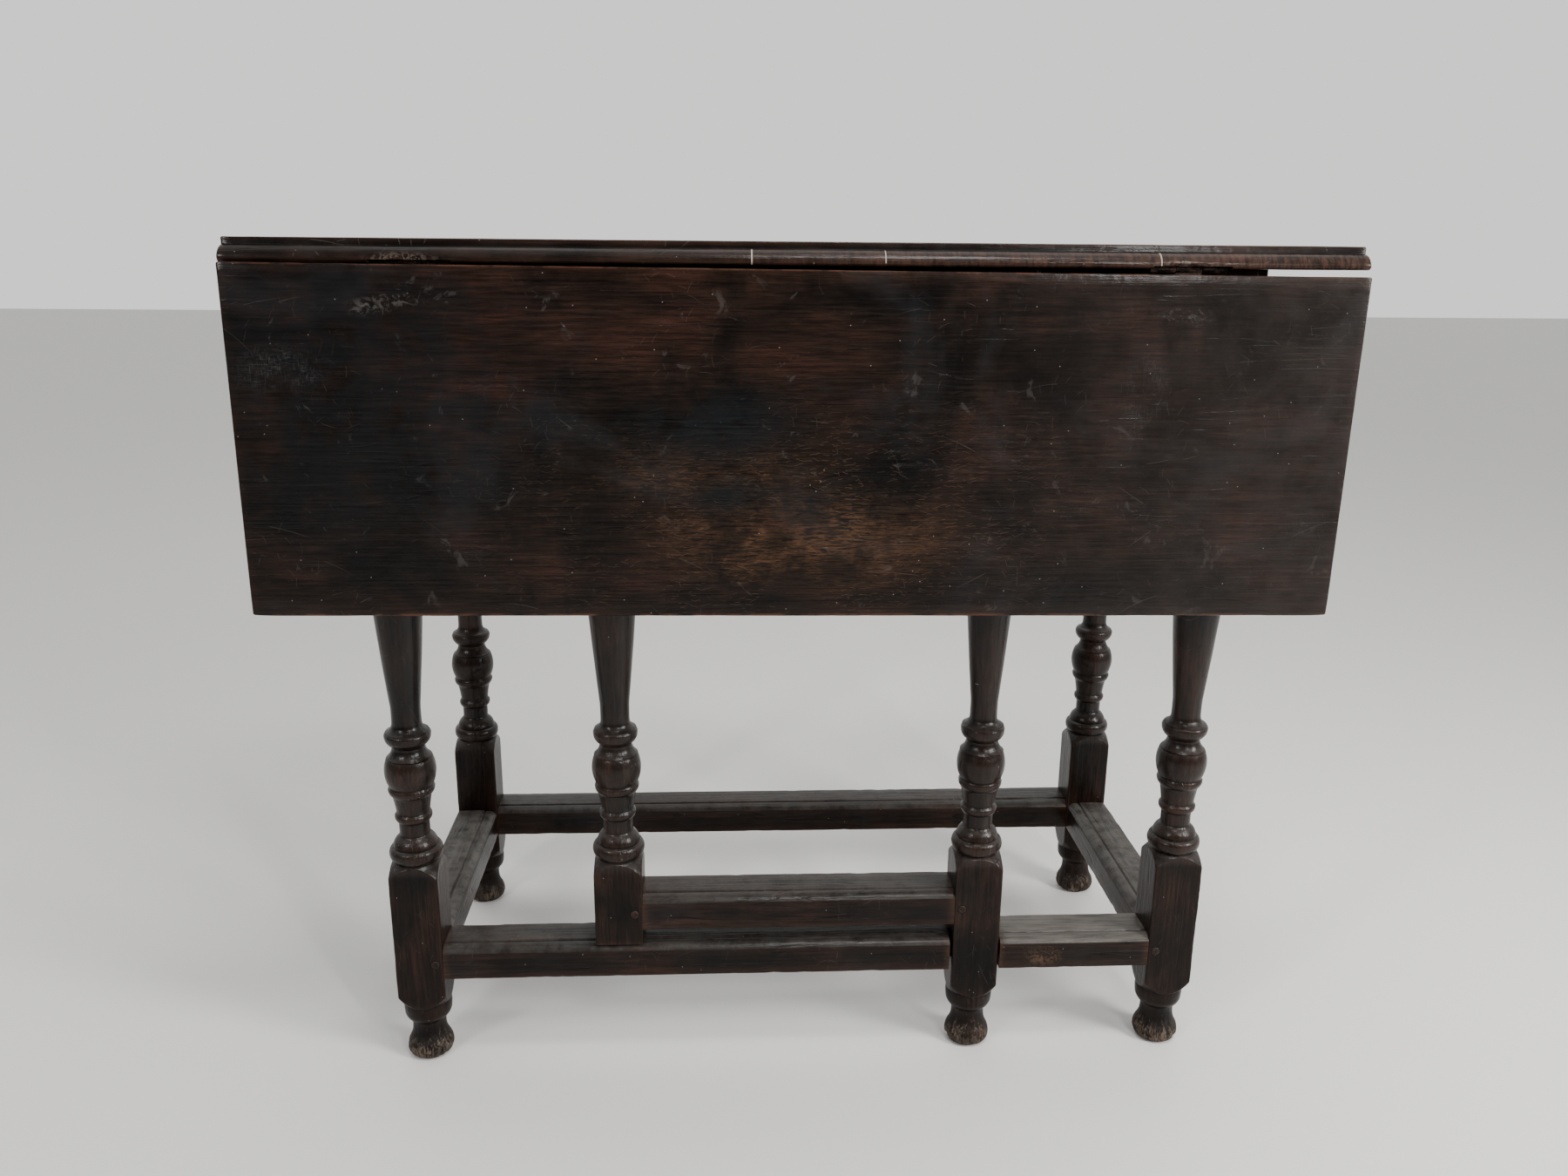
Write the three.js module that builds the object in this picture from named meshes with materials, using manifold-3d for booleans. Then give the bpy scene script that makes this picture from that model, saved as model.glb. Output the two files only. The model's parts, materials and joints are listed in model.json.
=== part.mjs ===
// Single-leaf gate-leg table in dark oak: four turned legs, moulded stretchers, a swinging gate and one drop leaf.
// Millimetres, +Z up, +Y towards the back. The origin is on the floor, under the middle of the closed table.
import * as THREE from 'three';
import { mergeVertices } from 'three/addons/utils/BufferGeometryUtils.js';
import Module from 'manifold-3d';

const wasm = await Module();
wasm.setup();

// ---- driving dimensions -------------------------------------------------------------------------------------

const TABLE_HEIGHT = 720;
const TABLE_DEPTH = 382; // closed: leaf face to the back edge of the fixed top
const TOP_LENGTH = 860.6;
const TOP_THICKNESS = 17.5;

const LEAF_LENGTH = 858;
const LEAF_DROP = 268.5;
const LEAF_THICKNESS = 18;
const LEAF_SAG = 4; // how far the right-hand end hangs below the left, over the leaf's length

const RULE_FILLET = 5.5; // flat lip above the quarter round
const RULE_RADIUS = 12;
const RULE_TOE = 3; // rounding of the quarter round's lower edge
const RULE_GAP = 0.7;
const LEAF_LIP_GAP = 0.6;

const LEG_SQUARE = 42.4;
const LEG_SPREAD_X = 676.4;
const LEG_SPREAD_Y = 277.5;
const FRAME_OFFSET_X = 4.5; // the frame stands a little to the right under its top
const LEAF_TO_LEG_ROW = 57; // leaf face to the centres of the front legs

const STRETCHER_BOTTOM = 85.4;
const STRETCHER_TOP = 115.5;
const RAIL_WIDTH = 41;
const MOULD_WIDTH = 11.5;
const MOULD_DROP = 5;

const APRON_THICKNESS = 25;
const APRON_BOTTOM = 590;

const GATE_POST_X = -161.4; // from the middle of the frame
const GATE_LEG_X = 158.7;
const GATE_SETBACK = 1.5; // gate plane behind the centres of the front legs
const GATE_LOWER_RAIL = [130, 161];
const GATE_UPPER_RAIL = [535, 572];
const GATE_POST_TOP = 588;
const PIVOT_RADIUS = 7;
const PIVOT_LENGTH = 16;

const TENON_LENGTH = 13.5;
const TENON_HALF = 6;
const FIT_GAP = 0.3;

const PEG_RADIUS = 3.8;
const PEG_LENGTH = 29;
const PEG_FROM_SHOULDER = 7;

const HINGE_X = 292.5;
const HINGE_WIDTH = 60;
const BARREL_RADIUS = 3.6;
const HINGE_PIN_RADIUS = 1.6;
const PLATE_THICKNESS = 2;
const TOP_PLATE_REACH = 26;
const LEAF_PLATE_REACH = 62;
const NAIL_LENGTH = 14;

const LATHE_SEGMENTS = 12;
const BIG = 200;

// ---- places worked out from them ----------------------------------------------------------------------------

const half = LEG_SQUARE / 2;
const topUnderside = TABLE_HEIGHT - TOP_THICKNESS;
const frameTop = topUnderside - FIT_GAP;
const gateLegTop = TABLE_HEIGHT - LEAF_THICKNESS - FIT_GAP; // just under the raised leaf
const leafFaceY = -TABLE_DEPTH / 2;
const hingeY = leafFaceY + RULE_FILLET + RULE_RADIUS;
const hingeZ = TABLE_HEIGHT - RULE_FILLET - RULE_RADIUS;
const frontRowY = leafFaceY + LEAF_TO_LEG_ROW;
const backRowY = frontRowY + LEG_SPREAD_Y;
const leftRowX = FRAME_OFFSET_X - LEG_SPREAD_X / 2;
const rightRowX = FRAME_OFFSET_X + LEG_SPREAD_X / 2;
const gateY = frontRowY + GATE_SETBACK;
const postX = FRAME_OFFSET_X + GATE_POST_X;
const gateLegX = FRAME_OFFSET_X + GATE_LEG_X;

// ---- small geometry kit -------------------------------------------------------------------------------------

function solid(geometry) {
  const bare = geometry.clone();
  bare.deleteAttribute('normal');
  bare.deleteAttribute('uv');
  const merged = mergeVertices(bare, 1e-4);
  return new wasm.Manifold(new wasm.Mesh({
    numProp: 3,
    vertProperties: new Float32Array(merged.attributes.position.array),
    triVerts: new Uint32Array(merged.index.array),
  }));
}

function toGeometry(manifold) {
  const mesh = manifold.getMesh();
  const geometry = new THREE.BufferGeometry();
  geometry.setAttribute('position', new THREE.BufferAttribute(mesh.vertProperties, 3));
  geometry.setIndex(new THREE.BufferAttribute(mesh.triVerts, 1));
  const flat = geometry.toNonIndexed();
  flat.computeVertexNormals();
  return flat;
}

// A box given by its lowest and highest corners.
function box(low, high) {
  const size = high.map((value, i) => value - low[i]);
  const geometry = new THREE.BoxGeometry(...size);
  geometry.translate(...low.map((value, i) => value + size[i] / 2));
  return solid(geometry);
}

// A round bar from one point towards another along a single axis.
function rod(radius, start, axis, length, segments = 8) {
  const geometry = new THREE.CylinderGeometry(radius, radius, Math.abs(length), segments);
  if (axis === 'x') geometry.rotateZ(-Math.PI / 2);
  if (axis === 'z') geometry.rotateX(Math.PI / 2);
  const centre = [...start];
  centre['xyz'.indexOf(axis)] += length / 2;
  geometry.translate(...centre);
  return solid(geometry);
}

// A straight bar along X whose section is a list of [y, z] points.
function barAlongX(section, x0, x1) {
  const shape = new THREE.Shape(section.map(([y, z]) => new THREE.Vector2(y, z)));
  const geometry = new THREE.ExtrudeGeometry(shape, { depth: x1 - x0, bevelEnabled: false, steps: 1 });
  geometry.applyMatrix4(new THREE.Matrix4().set(
    0, 0, 1, x0,
    1, 0, 0, 0,
    0, 1, 0, 0,
    0, 0, 0, 1,
  ));
  return solid(geometry);
}

// Points of an arc around a centre, from one angle to another in degrees.
function arc(centre, radius, from, to, steps) {
  return Array.from({ length: steps + 1 }, (_, i) => {
    const angle = THREE.MathUtils.degToRad(from + (to - from) * i / steps);
    return [centre[0] + radius * Math.cos(angle), centre[1] + radius * Math.sin(angle)];
  });
}

// ---- turned work --------------------------------------------------------------------------------------------

// Walks an outline of [radius, height] points. A third value bows the stretch outwards (or inwards, if negative).
function turning(stretches) {
  const outline = [[0, stretches[0][1]], [stretches[0][0], stretches[0][1]]];
  for (const [radius, height, bow = 0] of stretches.slice(1)) {
    const [r0, z0] = outline[outline.length - 1];
    const length = Math.hypot(radius - r0, height - z0);
    const normal = [(height - z0) / length, -(radius - r0) / length];
    const steps = bow === 0 ? 1 : Math.max(2, Math.min(3, Math.round(length / 5)));
    for (let i = 1; i <= steps; i += 1) {
      const t = i / steps;
      const lift = 4 * bow * t * (1 - t);
      outline.push([
        r0 + (radius - r0) * t + normal[0] * lift,
        z0 + (height - z0) * t + normal[1] * lift,
      ]);
    }
  }
  outline.push([0, outline[outline.length - 1][1]]);
  return outline;
}

function lathe(outline) {
  const points = outline.map(([radius, height]) => new THREE.Vector2(radius, height));
  const geometry = new THREE.LatheGeometry(points, LATHE_SEGMENTS);
  geometry.rotateX(Math.PI / 2);
  return solid(geometry);
}

// The turned outline leaves the blocks at a radius whose facets clear the square's corners.
const CORNER = half * Math.SQRT2 / Math.cos(Math.PI / LATHE_SEGMENTS) + 0.3;

const FOOT = [
  [15.5, 0],
  [20.5, 7, 1.2],
  [14.9, 27, -1.4],
  [15.2, 34, -0.3],
  [21.4, 46, 1.4],
  [half, 55.4, 0.3],
  [CORNER, 69, 1.2],
];

const LOWER_SHOULDER = [[CORNER, 181, 0], [half, 193.5, 1.2], [18.6, 195.4]];

// Base bead, cove and neck, small ring, cup, flange, ball, collar bead and the foot of the column.
const BALUSTER = [
  [22.6, 202, 0.9],
  [19.3, 208.5, 1.2],
  [14.2, 218, 0.9],
  [12.9, 221.5],
  [12.9, 231.5],
  [15.8, 236.8, 0.8],
  [14.1, 240.8],
  [16.6, 256.5],
  [19.6, 261.5, 0.5],
  [18.6, 265.6],
  [21.4, 279, 0.9],
  [19.4, 291, 0.9],
  [14, 300],
  [14, 301.5],
  [16.8, 304.5],
  [19.4, 310.5, 0.8],
  [18.6, 314.8, 0.3],
  [12.8, 320.4, -0.8],
];

function column(girth) {
  return [
    [12.4 * girth, 324],
    [12.5 * girth, 338],
    [19.2 * girth, 414],
    [20.4 * girth, 446],
    [12.5, 466, 3],
    [12.5, 472],
    [13, 484, 4],
    [13, 489],
    [18, 507, 5],
    [half, 512],
    [CORNER, 523, 1.2],
  ];
}

// One leg blank: a square stick turned round between its blocks. The outline leaves the blocks square.
function turnedLeg(top, girth = 1) {
  const outline = turning([...FOOT, ...LOWER_SHOULDER, ...BALUSTER, ...column(girth), [CORNER, top]]);
  return lathe(outline).intersect(box([-half, -half, -1], [half, half, top + 1]));
}

// The gate's post has no foot: it stands on a round pivot, and ends in another one.
function turnedPost() {
  const outline = turning([
    [CORNER, STRETCHER_TOP + FIT_GAP],
    ...LOWER_SHOULDER,
    ...BALUSTER,
    ...column(1),
    [CORNER, GATE_POST_TOP],
  ]);
  const pivotBottom = STRETCHER_TOP - PIVOT_LENGTH;
  const pivotTop = APRON_BOTTOM + PIVOT_LENGTH;
  return lathe(outline)
    .intersect(box([-half, -half, 0], [half, half, TABLE_HEIGHT]))
    .add(rod(PIVOT_RADIUS, [0, 0, pivotBottom], 'z', pivotTop - pivotBottom, 14));
}

// ---- rails and stretchers -----------------------------------------------------------------------------------

// Section across a rail, as [across, height]. The moulded edge is at the negative side.
function mouldedSection(bottom, top) {
  const edge = -RAIL_WIDTH / 2;
  const quirk = edge + MOULD_WIDTH;
  return [
    [edge, bottom],
    [-edge, bottom],
    [-edge, top],
    [quirk + 2, top],
    [quirk + 1.6, top - 2],
    [quirk, top - 1.2],
    [quirk - 4, top - 1.4],
    [edge + 2.5, top - 3.2],
    [edge, top - MOULD_DROP],
  ];
}

const plainSection = (thickness, bottom, top) => [
  [-thickness / 2, bottom],
  [thickness / 2, bottom],
  [thickness / 2, top],
  [-thickness / 2, top],
];

// Each rail runs from its low to its high end along X, before it is turned and placed; both ends have a tenon.
function rail(section, length, tenonBottom, tenonTop) {
  const reach = length / 2 + TENON_LENGTH;
  const tenon = box([-reach, -TENON_HALF, tenonBottom], [reach, TENON_HALF, tenonTop]);
  return barAlongX(section, -length / 2, length / 2).add(tenon);
}

// ---- the frame's joints: every tenon, its mortise and its peg ------------------------------------------------

const sticks = {};
const pegs = [];

const solids = {};
const materialOf = {};
const placed = (manifold, x, y, z = 0) => manifold.translate([x, y, z]);

function keep(name, manifold, material) {
  solids[name] = manifold;
  materialOf[name] = material;
}

for (const [side, x] of [['left', leftRowX], ['right', rightRowX]]) {
  sticks[`front_${side}_leg`] = placed(turnedLeg(frameTop), x, frontRowY);
  sticks[`back_${side}_leg`] = placed(turnedLeg(frameTop), x, backRowY);
}
sticks.gate_leg = placed(turnedLeg(gateLegTop, 0.93), gateLegX, gateY);
sticks.gate_post = placed(turnedPost(), postX, gateY);

// A rail between two upright sticks. run is the axis it follows, face the side its pegs are driven from.
function joinRail(name, { section, run, from, to, across, tenon, pegZ, face, mouldTo = -1, faceAt }) {
  const length = to.at - from.at - 2 * half - 2 * FIT_GAP;
  const middle = (from.at + to.at) / 2;
  const turned = mouldTo < 0 ? section : section.map(([a, z]) => [-a, z]).reverse();
  let piece = rail(turned, length, ...tenon);
  piece = run === 'x' ? placed(piece, middle, across) : placed(piece.rotate([0, 0, -90]), across, middle);

  for (const [end, inward] of [[from, 1], [to, -1]]) {
    const shoulder = end.at + inward * half;
    const depth = TENON_LENGTH + FIT_GAP;
    const along = [shoulder - inward * depth, shoulder + inward].sort((a, b) => a - b);
    const width = [across - TENON_HALF - FIT_GAP, across + TENON_HALF + FIT_GAP];
    const heights = [tenon[0] - FIT_GAP, tenon[1] + FIT_GAP];
    const mortise = run === 'x'
      ? box([along[0], width[0], heights[0]], [along[1], width[1], heights[1]])
      : box([width[0], along[0], heights[0]], [width[1], along[1], heights[1]]);

    const pegAlong = shoulder - inward * PEG_FROM_SHOULDER;
    const drive = run === 'x' ? 'y' : 'x';
    const start = run === 'x' ? [pegAlong, faceAt, pegZ] : [faceAt, pegAlong, pegZ];
    const hole = rod(PEG_RADIUS + FIT_GAP, start, drive, -face * (PEG_LENGTH + FIT_GAP));
    const mouth = rod(PEG_RADIUS + FIT_GAP, start, drive, face);
    const cut = hole.add(mouth);
    sticks[end.stick] = sticks[end.stick].subtract(mortise).subtract(cut);
    piece = piece.subtract(cut);
    pegs.push([`${name}_peg_${pegs.filter(([peg]) => peg.startsWith(`${name}_peg`)).length + 1}`, {
      start: start.map((value, i) => value + (i === 'xyz'.indexOf(drive) ? face * 0.4 : 0)),
      drive,
      length: -face * PEG_LENGTH,
    }]);
  }
  solids[name] = piece;
  materialOf[name] = 'oak';
}

const stretcherTenon = [STRETCHER_BOTTOM + 5, STRETCHER_TOP - 8];
const apronTenon = [APRON_BOTTOM + 14, frameTop - 10];
const stretcherPegZ = 100;
const apronPegZ = 646;

const frontStretcherY = frontRowY - 0.5;
const backStretcherY = backRowY + 0.5;
const apronInset = GATE_SETBACK;

const rows = [
  ['front', frontRowY, frontStretcherY, frontRowY + apronInset, -1, -1],
  ['back', backRowY, backStretcherY, backRowY - apronInset, 1, -1],
];
for (const [row, legY, stretcherY, apronY, face, mouldTo] of rows) {
  const ends = {
    from: { stick: `${row}_left_leg`, at: leftRowX },
    to: { stick: `${row}_right_leg`, at: rightRowX },
    run: 'x',
    face,
    faceAt: legY + face * half,
  };
  joinRail(`${row}_stretcher`, {
    ...ends,
    section: mouldedSection(STRETCHER_BOTTOM, STRETCHER_TOP),
    across: stretcherY,
    tenon: stretcherTenon,
    pegZ: stretcherPegZ,
    mouldTo,
  });
  joinRail(`${row}_apron`, {
    ...ends,
    section: plainSection(APRON_THICKNESS, APRON_BOTTOM, frameTop),
    across: apronY,
    tenon: apronTenon,
    pegZ: apronPegZ,
  });
}

for (const [side, x, face] of [['left', leftRowX, -1], ['right', rightRowX, 1]]) {
  const ends = {
    from: { stick: `front_${side}_leg`, at: frontRowY },
    to: { stick: `back_${side}_leg`, at: backRowY },
    run: 'y',
    face,
    faceAt: x + face * half,
  };
  joinRail(`${side}_stretcher`, {
    ...ends,
    section: mouldedSection(STRETCHER_BOTTOM, STRETCHER_TOP),
    across: x,
    tenon: stretcherTenon,
    pegZ: stretcherPegZ,
    mouldTo: -face,
  });
  joinRail(`${side}_apron`, {
    ...ends,
    section: plainSection(APRON_THICKNESS, APRON_BOTTOM, frameTop),
    across: x - face * apronInset,
    tenon: apronTenon,
    pegZ: apronPegZ,
  });
}

// ---- the gate -----------------------------------------------------------------------------------------------

const gateEnds = {
  from: { stick: 'gate_post', at: postX },
  to: { stick: 'gate_leg', at: gateLegX },
  run: 'x',
  across: gateY,
  face: -1,
  faceAt: gateY - half,
};
joinRail('gate_lower_rail', {
  ...gateEnds,
  section: mouldedSection(...GATE_LOWER_RAIL),
  tenon: [GATE_LOWER_RAIL[0] + 4, GATE_LOWER_RAIL[1] - 6],
  pegZ: 145.5,
});
joinRail('gate_upper_rail', {
  ...gateEnds,
  section: plainSection(APRON_THICKNESS, ...GATE_UPPER_RAIL),
  tenon: [GATE_UPPER_RAIL[0] + 5, GATE_UPPER_RAIL[1] - 5],
  pegZ: 553.5,
});

// The gate leg is halved over the front stretcher and over the front apron, so that the gate shuts flush.
const HALVING_Y = gateY - 1;
const NOTCH_HINGE_SIDE = 4; // room for the arc that the leg follows as it leaves its notch
const NOTCH_FREE_SIDE = 1;
const notch = (bottom, top) => box(
  [gateLegX - half - NOTCH_HINGE_SIDE, frontRowY - BIG, bottom],
  [gateLegX + half + NOTCH_FREE_SIDE, HALVING_Y, top],
);
solids.front_stretcher = solids.front_stretcher.subtract(notch(STRETCHER_BOTTOM - 1, STRETCHER_TOP + 1));
solids.front_apron = solids.front_apron.subtract(notch(APRON_BOTTOM - 1, TABLE_HEIGHT));
const legHalving = (bottom, top) => box(
  [gateLegX - BIG, HALVING_Y - 0.6, bottom],
  [gateLegX + BIG, gateY + BIG, top],
);
sticks.gate_leg = sticks.gate_leg
  .subtract(legHalving(STRETCHER_BOTTOM - 1.5, STRETCHER_TOP + 1.5))
  .subtract(legHalving(APRON_BOTTOM - 2, TABLE_HEIGHT));

// Sockets for the post's two round pivots.
const socket = (bottom, length) => rod(PIVOT_RADIUS + 0.5, [postX, gateY, bottom], 'z', length, 14);
solids.front_stretcher = solids.front_stretcher
  .subtract(socket(STRETCHER_TOP - PIVOT_LENGTH - 1, PIVOT_LENGTH + 2));
solids.front_apron = solids.front_apron
  .subtract(socket(APRON_BOTTOM - 1, PIVOT_LENGTH + 2));

// ---- top and leaf, meeting in a rule joint ------------------------------------------------------------------

// Both sections are [y, z] from the hinge axis. The leaf's is drawn raised, with its edge to the front.
const topBack = TABLE_DEPTH / 2 - hingeY;
const topFloor = topUnderside - hingeZ;
const topFace = TABLE_HEIGHT - hingeZ;
const toeY = Math.sqrt((RULE_RADIUS - RULE_TOE) ** 2 - RULE_TOE ** 2);
const toeStart = 180 - THREE.MathUtils.radToDeg(Math.atan2(RULE_TOE, toeY));
const EDGE_EASE = 1.2;
const topSection = [
  [topBack - EDGE_EASE, topFloor],
  [topBack, topFloor + EDGE_EASE],
  [topBack, topFace - EDGE_EASE],
  [topBack - EDGE_EASE, topFace],
  [0.8, topFace],
  [0, topFace - 0.8],
  ...arc([0, 0], RULE_RADIUS, 90, toeStart, 8),
  ...arc([-toeY, topFloor + RULE_TOE], RULE_TOE, toeStart, 270, 4).slice(1),
];

const coveRadius = RULE_RADIUS + RULE_GAP;
const coveStart = 180 - THREE.MathUtils.radToDeg(Math.acos(LEAF_LIP_GAP / coveRadius));
const leafFloor = topFace - LEAF_THICKNESS;
const leafEdge = -LEAF_LIP_GAP - LEAF_DROP;
const leafSection = [
  [-LEAF_LIP_GAP, topFace],
  [leafEdge + EDGE_EASE, topFace],
  [leafEdge, topFace - EDGE_EASE],
  [leafEdge, leafFloor + EDGE_EASE],
  [leafEdge + EDGE_EASE, leafFloor],
  [-coveRadius, leafFloor],
  ...arc([0, 0], coveRadius, 180, coveStart, 8),
];

const toHinge = (manifold) => manifold.translate([0, hingeY, hingeZ]);
const hang = (manifold) => toHinge(manifold.rotate([90, 0, 0]));

let fixedTop = toHinge(barAlongX(topSection, -TOP_LENGTH / 2, TOP_LENGTH / 2));

// The leaf sits a hair skew on its hinges: it is turned about its top left-hand corner.
const skew = THREE.MathUtils.radToDeg(Math.atan(LEAF_SAG / LEAF_LENGTH));
let leaf = barAlongX(leafSection, 0, LEAF_LENGTH)
  .rotate([0, 0, -skew])
  .translate([-LEAF_LENGTH / 2, 0, 0]);

// Pegs that hold the top down to the front and back aprons.
const TOP_PEG_SPREAD = 250;
const TOP_PEG_DEPTH = 40;
let topPegCount = 0;
for (const [apron, y] of [['front_apron', frontRowY + apronInset], ['back_apron', backRowY - apronInset]]) {
  for (const side of [-1, 1]) {
    topPegCount += 1;
    const x = FRAME_OFFSET_X + side * TOP_PEG_SPREAD;
    const hole = rod(PEG_RADIUS + FIT_GAP, [x, y, TABLE_HEIGHT + 1], 'z', -TOP_PEG_DEPTH - 2);
    fixedTop = fixedTop.subtract(hole);
    solids[apron] = solids[apron].subtract(hole);
    keep(`top_peg_${topPegCount}`, rod(PEG_RADIUS, [x, y, TABLE_HEIGHT], 'z', -TOP_PEG_DEPTH), 'peg');
  }
}

// ---- iron hinges, drawn with the leaf raised and from the hinge axis ------------------------------------------

const KNUCKLE = HINGE_WIDTH / 3;
const KNUCKLE_GAP = 0.5;
const barrelClear = BARREL_RADIUS + 0.6;
const leafShoulder = barrelClear + 1; // the leaf's plate turns clear of the other plate's knuckles
const topPlateZ = [topFloor, topFloor + PLATE_THICKNESS];
const leafPlateZ = [leafFloor + 0.2, leafFloor + 0.2 + PLATE_THICKNESS];

// A knuckle of the barrel, with the strip of plate that joins it.
function knuckle(from, to, plateZ, towards) {
  const strip = [0, towards * (leafShoulder + 1)].sort((a, b) => a - b);
  return rod(BARREL_RADIUS, [from, 0, 0], 'x', to - from, 14)
    .add(box([from, strip[0], plateZ[0]], [to, strip[1], plateZ[1]]));
}

const nail = (x, y, z, into) => rod(1.6, [x, y, z], 'z', into * NAIL_LENGTH, 8)
  .add(rod(3.2, [x, y, z], 'z', -into * 1.1, 8));

for (const [side, sign] of [['left', -1], ['right', 1]]) {
  const x0 = sign * HINGE_X - HINGE_WIDTH / 2;
  const x1 = x0 + HINGE_WIDTH;
  const pinBore = rod(HINGE_PIN_RADIUS + FIT_GAP, [x0 - 1, 0, 0], 'x', HINGE_WIDTH + 2, 10);

  const topPlate = box([x0, barrelClear, topPlateZ[0]], [x1, TOP_PLATE_REACH, topPlateZ[1]])
    .add(knuckle(x0, x0 + KNUCKLE - KNUCKLE_GAP, topPlateZ, 1))
    .add(knuckle(x1 - KNUCKLE + KNUCKLE_GAP, x1, topPlateZ, 1));
  const leafPlate = box([x0, -LEAF_PLATE_REACH, leafPlateZ[0]], [x1, -leafShoulder, leafPlateZ[1]])
    .add(knuckle(x0 + KNUCKLE, x1 - KNUCKLE, leafPlateZ, -1));

  const margin = 0.4;
  const topGain = box(
    [x0 - margin, -BIG, topFloor - 1],
    [x1 + margin, 0, leafPlateZ[1] + margin],
  ).add(box(
    [x0 - margin, -barrelClear, topFloor - 1],
    [x1 + margin, barrelClear, barrelClear],
  )).add(box(
    [x0 - margin, 0, topFloor - 1],
    [x1 + margin, TOP_PLATE_REACH + margin, topPlateZ[1] + FIT_GAP],
  ));
  const leafGain = box(
    [x0 - margin, -LEAF_PLATE_REACH - margin, leafFloor - 1],
    [x1 + margin, 0, leafPlateZ[1] + FIT_GAP],
  );
  fixedTop = fixedTop.subtract(toHinge(topGain));
  leaf = leaf.subtract(leafGain);

  let drilledTop = topPlate.subtract(pinBore);
  let drilledLeaf = leafPlate.subtract(pinBore);
  [[-20, 11], [20, 11]].forEach(([dx, y], i) => {
    const x = sign * HINGE_X + dx;
    const hole = rod(1.6 + FIT_GAP, [x, y, topPlateZ[0] - 1], 'z', NAIL_LENGTH + 2, 8);
    drilledTop = drilledTop.subtract(hole);
    fixedTop = fixedTop.subtract(toHinge(hole));
    keep(`${side}_hinge_top_nail_${i + 1}`, toHinge(nail(x, y, topPlateZ[0] - 0.3, 1)), 'iron');
  });
  [[-12, -32], [12, -50]].forEach(([dx, y], i) => {
    const x = sign * HINGE_X + dx;
    const hole = rod(1.6 + FIT_GAP, [x, y, leafPlateZ[0] - 1], 'z', NAIL_LENGTH + 2, 8);
    drilledLeaf = drilledLeaf.subtract(hole);
    leaf = leaf.subtract(hole);
    keep(`${side}_hinge_leaf_nail_${i + 1}`, hang(nail(x, y, leafPlateZ[0] - 0.3, 1)), 'iron');
  });

  keep(`${side}_hinge_top_plate`, toHinge(drilledTop), 'iron');
  keep(`${side}_hinge_leaf_plate`, hang(drilledLeaf), 'iron');
  keep(`${side}_hinge_pin`, toHinge(rod(HINGE_PIN_RADIUS, [x0 - 0.2, 0, 0], 'x', HINGE_WIDTH + 0.4, 10)), 'iron');
}

keep('fixed_top', fixedTop, 'oak_top');
keep('drop_leaf', hang(leaf), 'oak_top');

// ---- assembly -----------------------------------------------------------------------------------------------

for (const [name, stick] of Object.entries(sticks)) keep(name, stick, 'oak');
for (const [name, { start, drive, length }] of pegs) keep(name, rod(PEG_RADIUS, start, drive, length), 'peg');

const FINISHES = {
  oak: { color: 0x2a1c15, roughness: 0.42, metalness: 0 },
  oak_top: { color: 0x33241c, roughness: 0.48, metalness: 0 },
  peg: { color: 0x3a271a, roughness: 0.6, metalness: 0 },
  iron: { color: 0x2b2724, roughness: 0.65, metalness: 0.8 },
};

const group = new THREE.Group();
for (const [name, manifold] of Object.entries(solids)) {
  const material = new THREE.MeshStandardMaterial(FINISHES[materialOf[name]]);
  const mesh = new THREE.Mesh(toGeometry(manifold), material);
  mesh.name = name;
  group.add(mesh);
}

export default group;
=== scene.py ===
import json
import math
import bmesh
import bpy
import numpy as np
from mathutils import Matrix, Vector, noise


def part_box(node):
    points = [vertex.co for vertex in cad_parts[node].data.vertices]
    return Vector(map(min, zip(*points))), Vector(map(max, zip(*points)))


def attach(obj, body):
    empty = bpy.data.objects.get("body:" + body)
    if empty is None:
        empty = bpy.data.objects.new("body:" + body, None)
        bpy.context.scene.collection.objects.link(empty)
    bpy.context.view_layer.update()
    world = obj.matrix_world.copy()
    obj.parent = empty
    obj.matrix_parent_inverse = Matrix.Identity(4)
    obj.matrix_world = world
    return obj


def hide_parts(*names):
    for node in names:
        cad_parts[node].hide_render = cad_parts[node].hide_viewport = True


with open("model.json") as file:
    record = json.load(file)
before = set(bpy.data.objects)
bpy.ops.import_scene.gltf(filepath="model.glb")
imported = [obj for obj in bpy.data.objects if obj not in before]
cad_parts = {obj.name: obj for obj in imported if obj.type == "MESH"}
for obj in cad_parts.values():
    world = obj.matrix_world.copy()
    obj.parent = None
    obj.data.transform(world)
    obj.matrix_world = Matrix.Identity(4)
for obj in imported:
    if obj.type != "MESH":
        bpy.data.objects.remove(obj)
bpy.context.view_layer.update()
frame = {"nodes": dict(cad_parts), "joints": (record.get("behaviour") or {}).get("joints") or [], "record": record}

MM = 0.001


def edges_of(node):
    """A node's lowest and highest corners."""
    low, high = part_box(node)
    return [c / MM for c in low], [c / MM for c in high]


def middle_of(node):
    """The middle of a node's box."""
    low, high = edges_of(node)
    return [(l + h) / 2 for l, h in zip(low, high)]


def joint_place(name):
    """A point on a joint's axis."""
    joint = next(j for j in frame["joints"] if j["name"] == name)
    return [c / MM for c in joint["pos_m"]]


# ---- places and sizes taken from the frame --------------------

leg_low, leg_high = edges_of("front_left_leg")
top_low, top_high = edges_of("fixed_top")
leaf_low, leaf_high = edges_of("drop_leaf")
gate_low, gate_high = edges_of("gate_leg")
stretcher_low, stretcher_high = edges_of("front_stretcher")
apron_low, apron_high = edges_of("front_apron")
HALF = (leg_high[0] - leg_low[0]) / 2
HINGE_Y, HINGE_Z = joint_place("leaf_fold")[1:]
HINGE_SPOTS = [middle_of("left_hinge_pin")[0], middle_of("right_hinge_pin")[0]]
PIVOT_Y = joint_place("gate_swing")[1]
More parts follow.
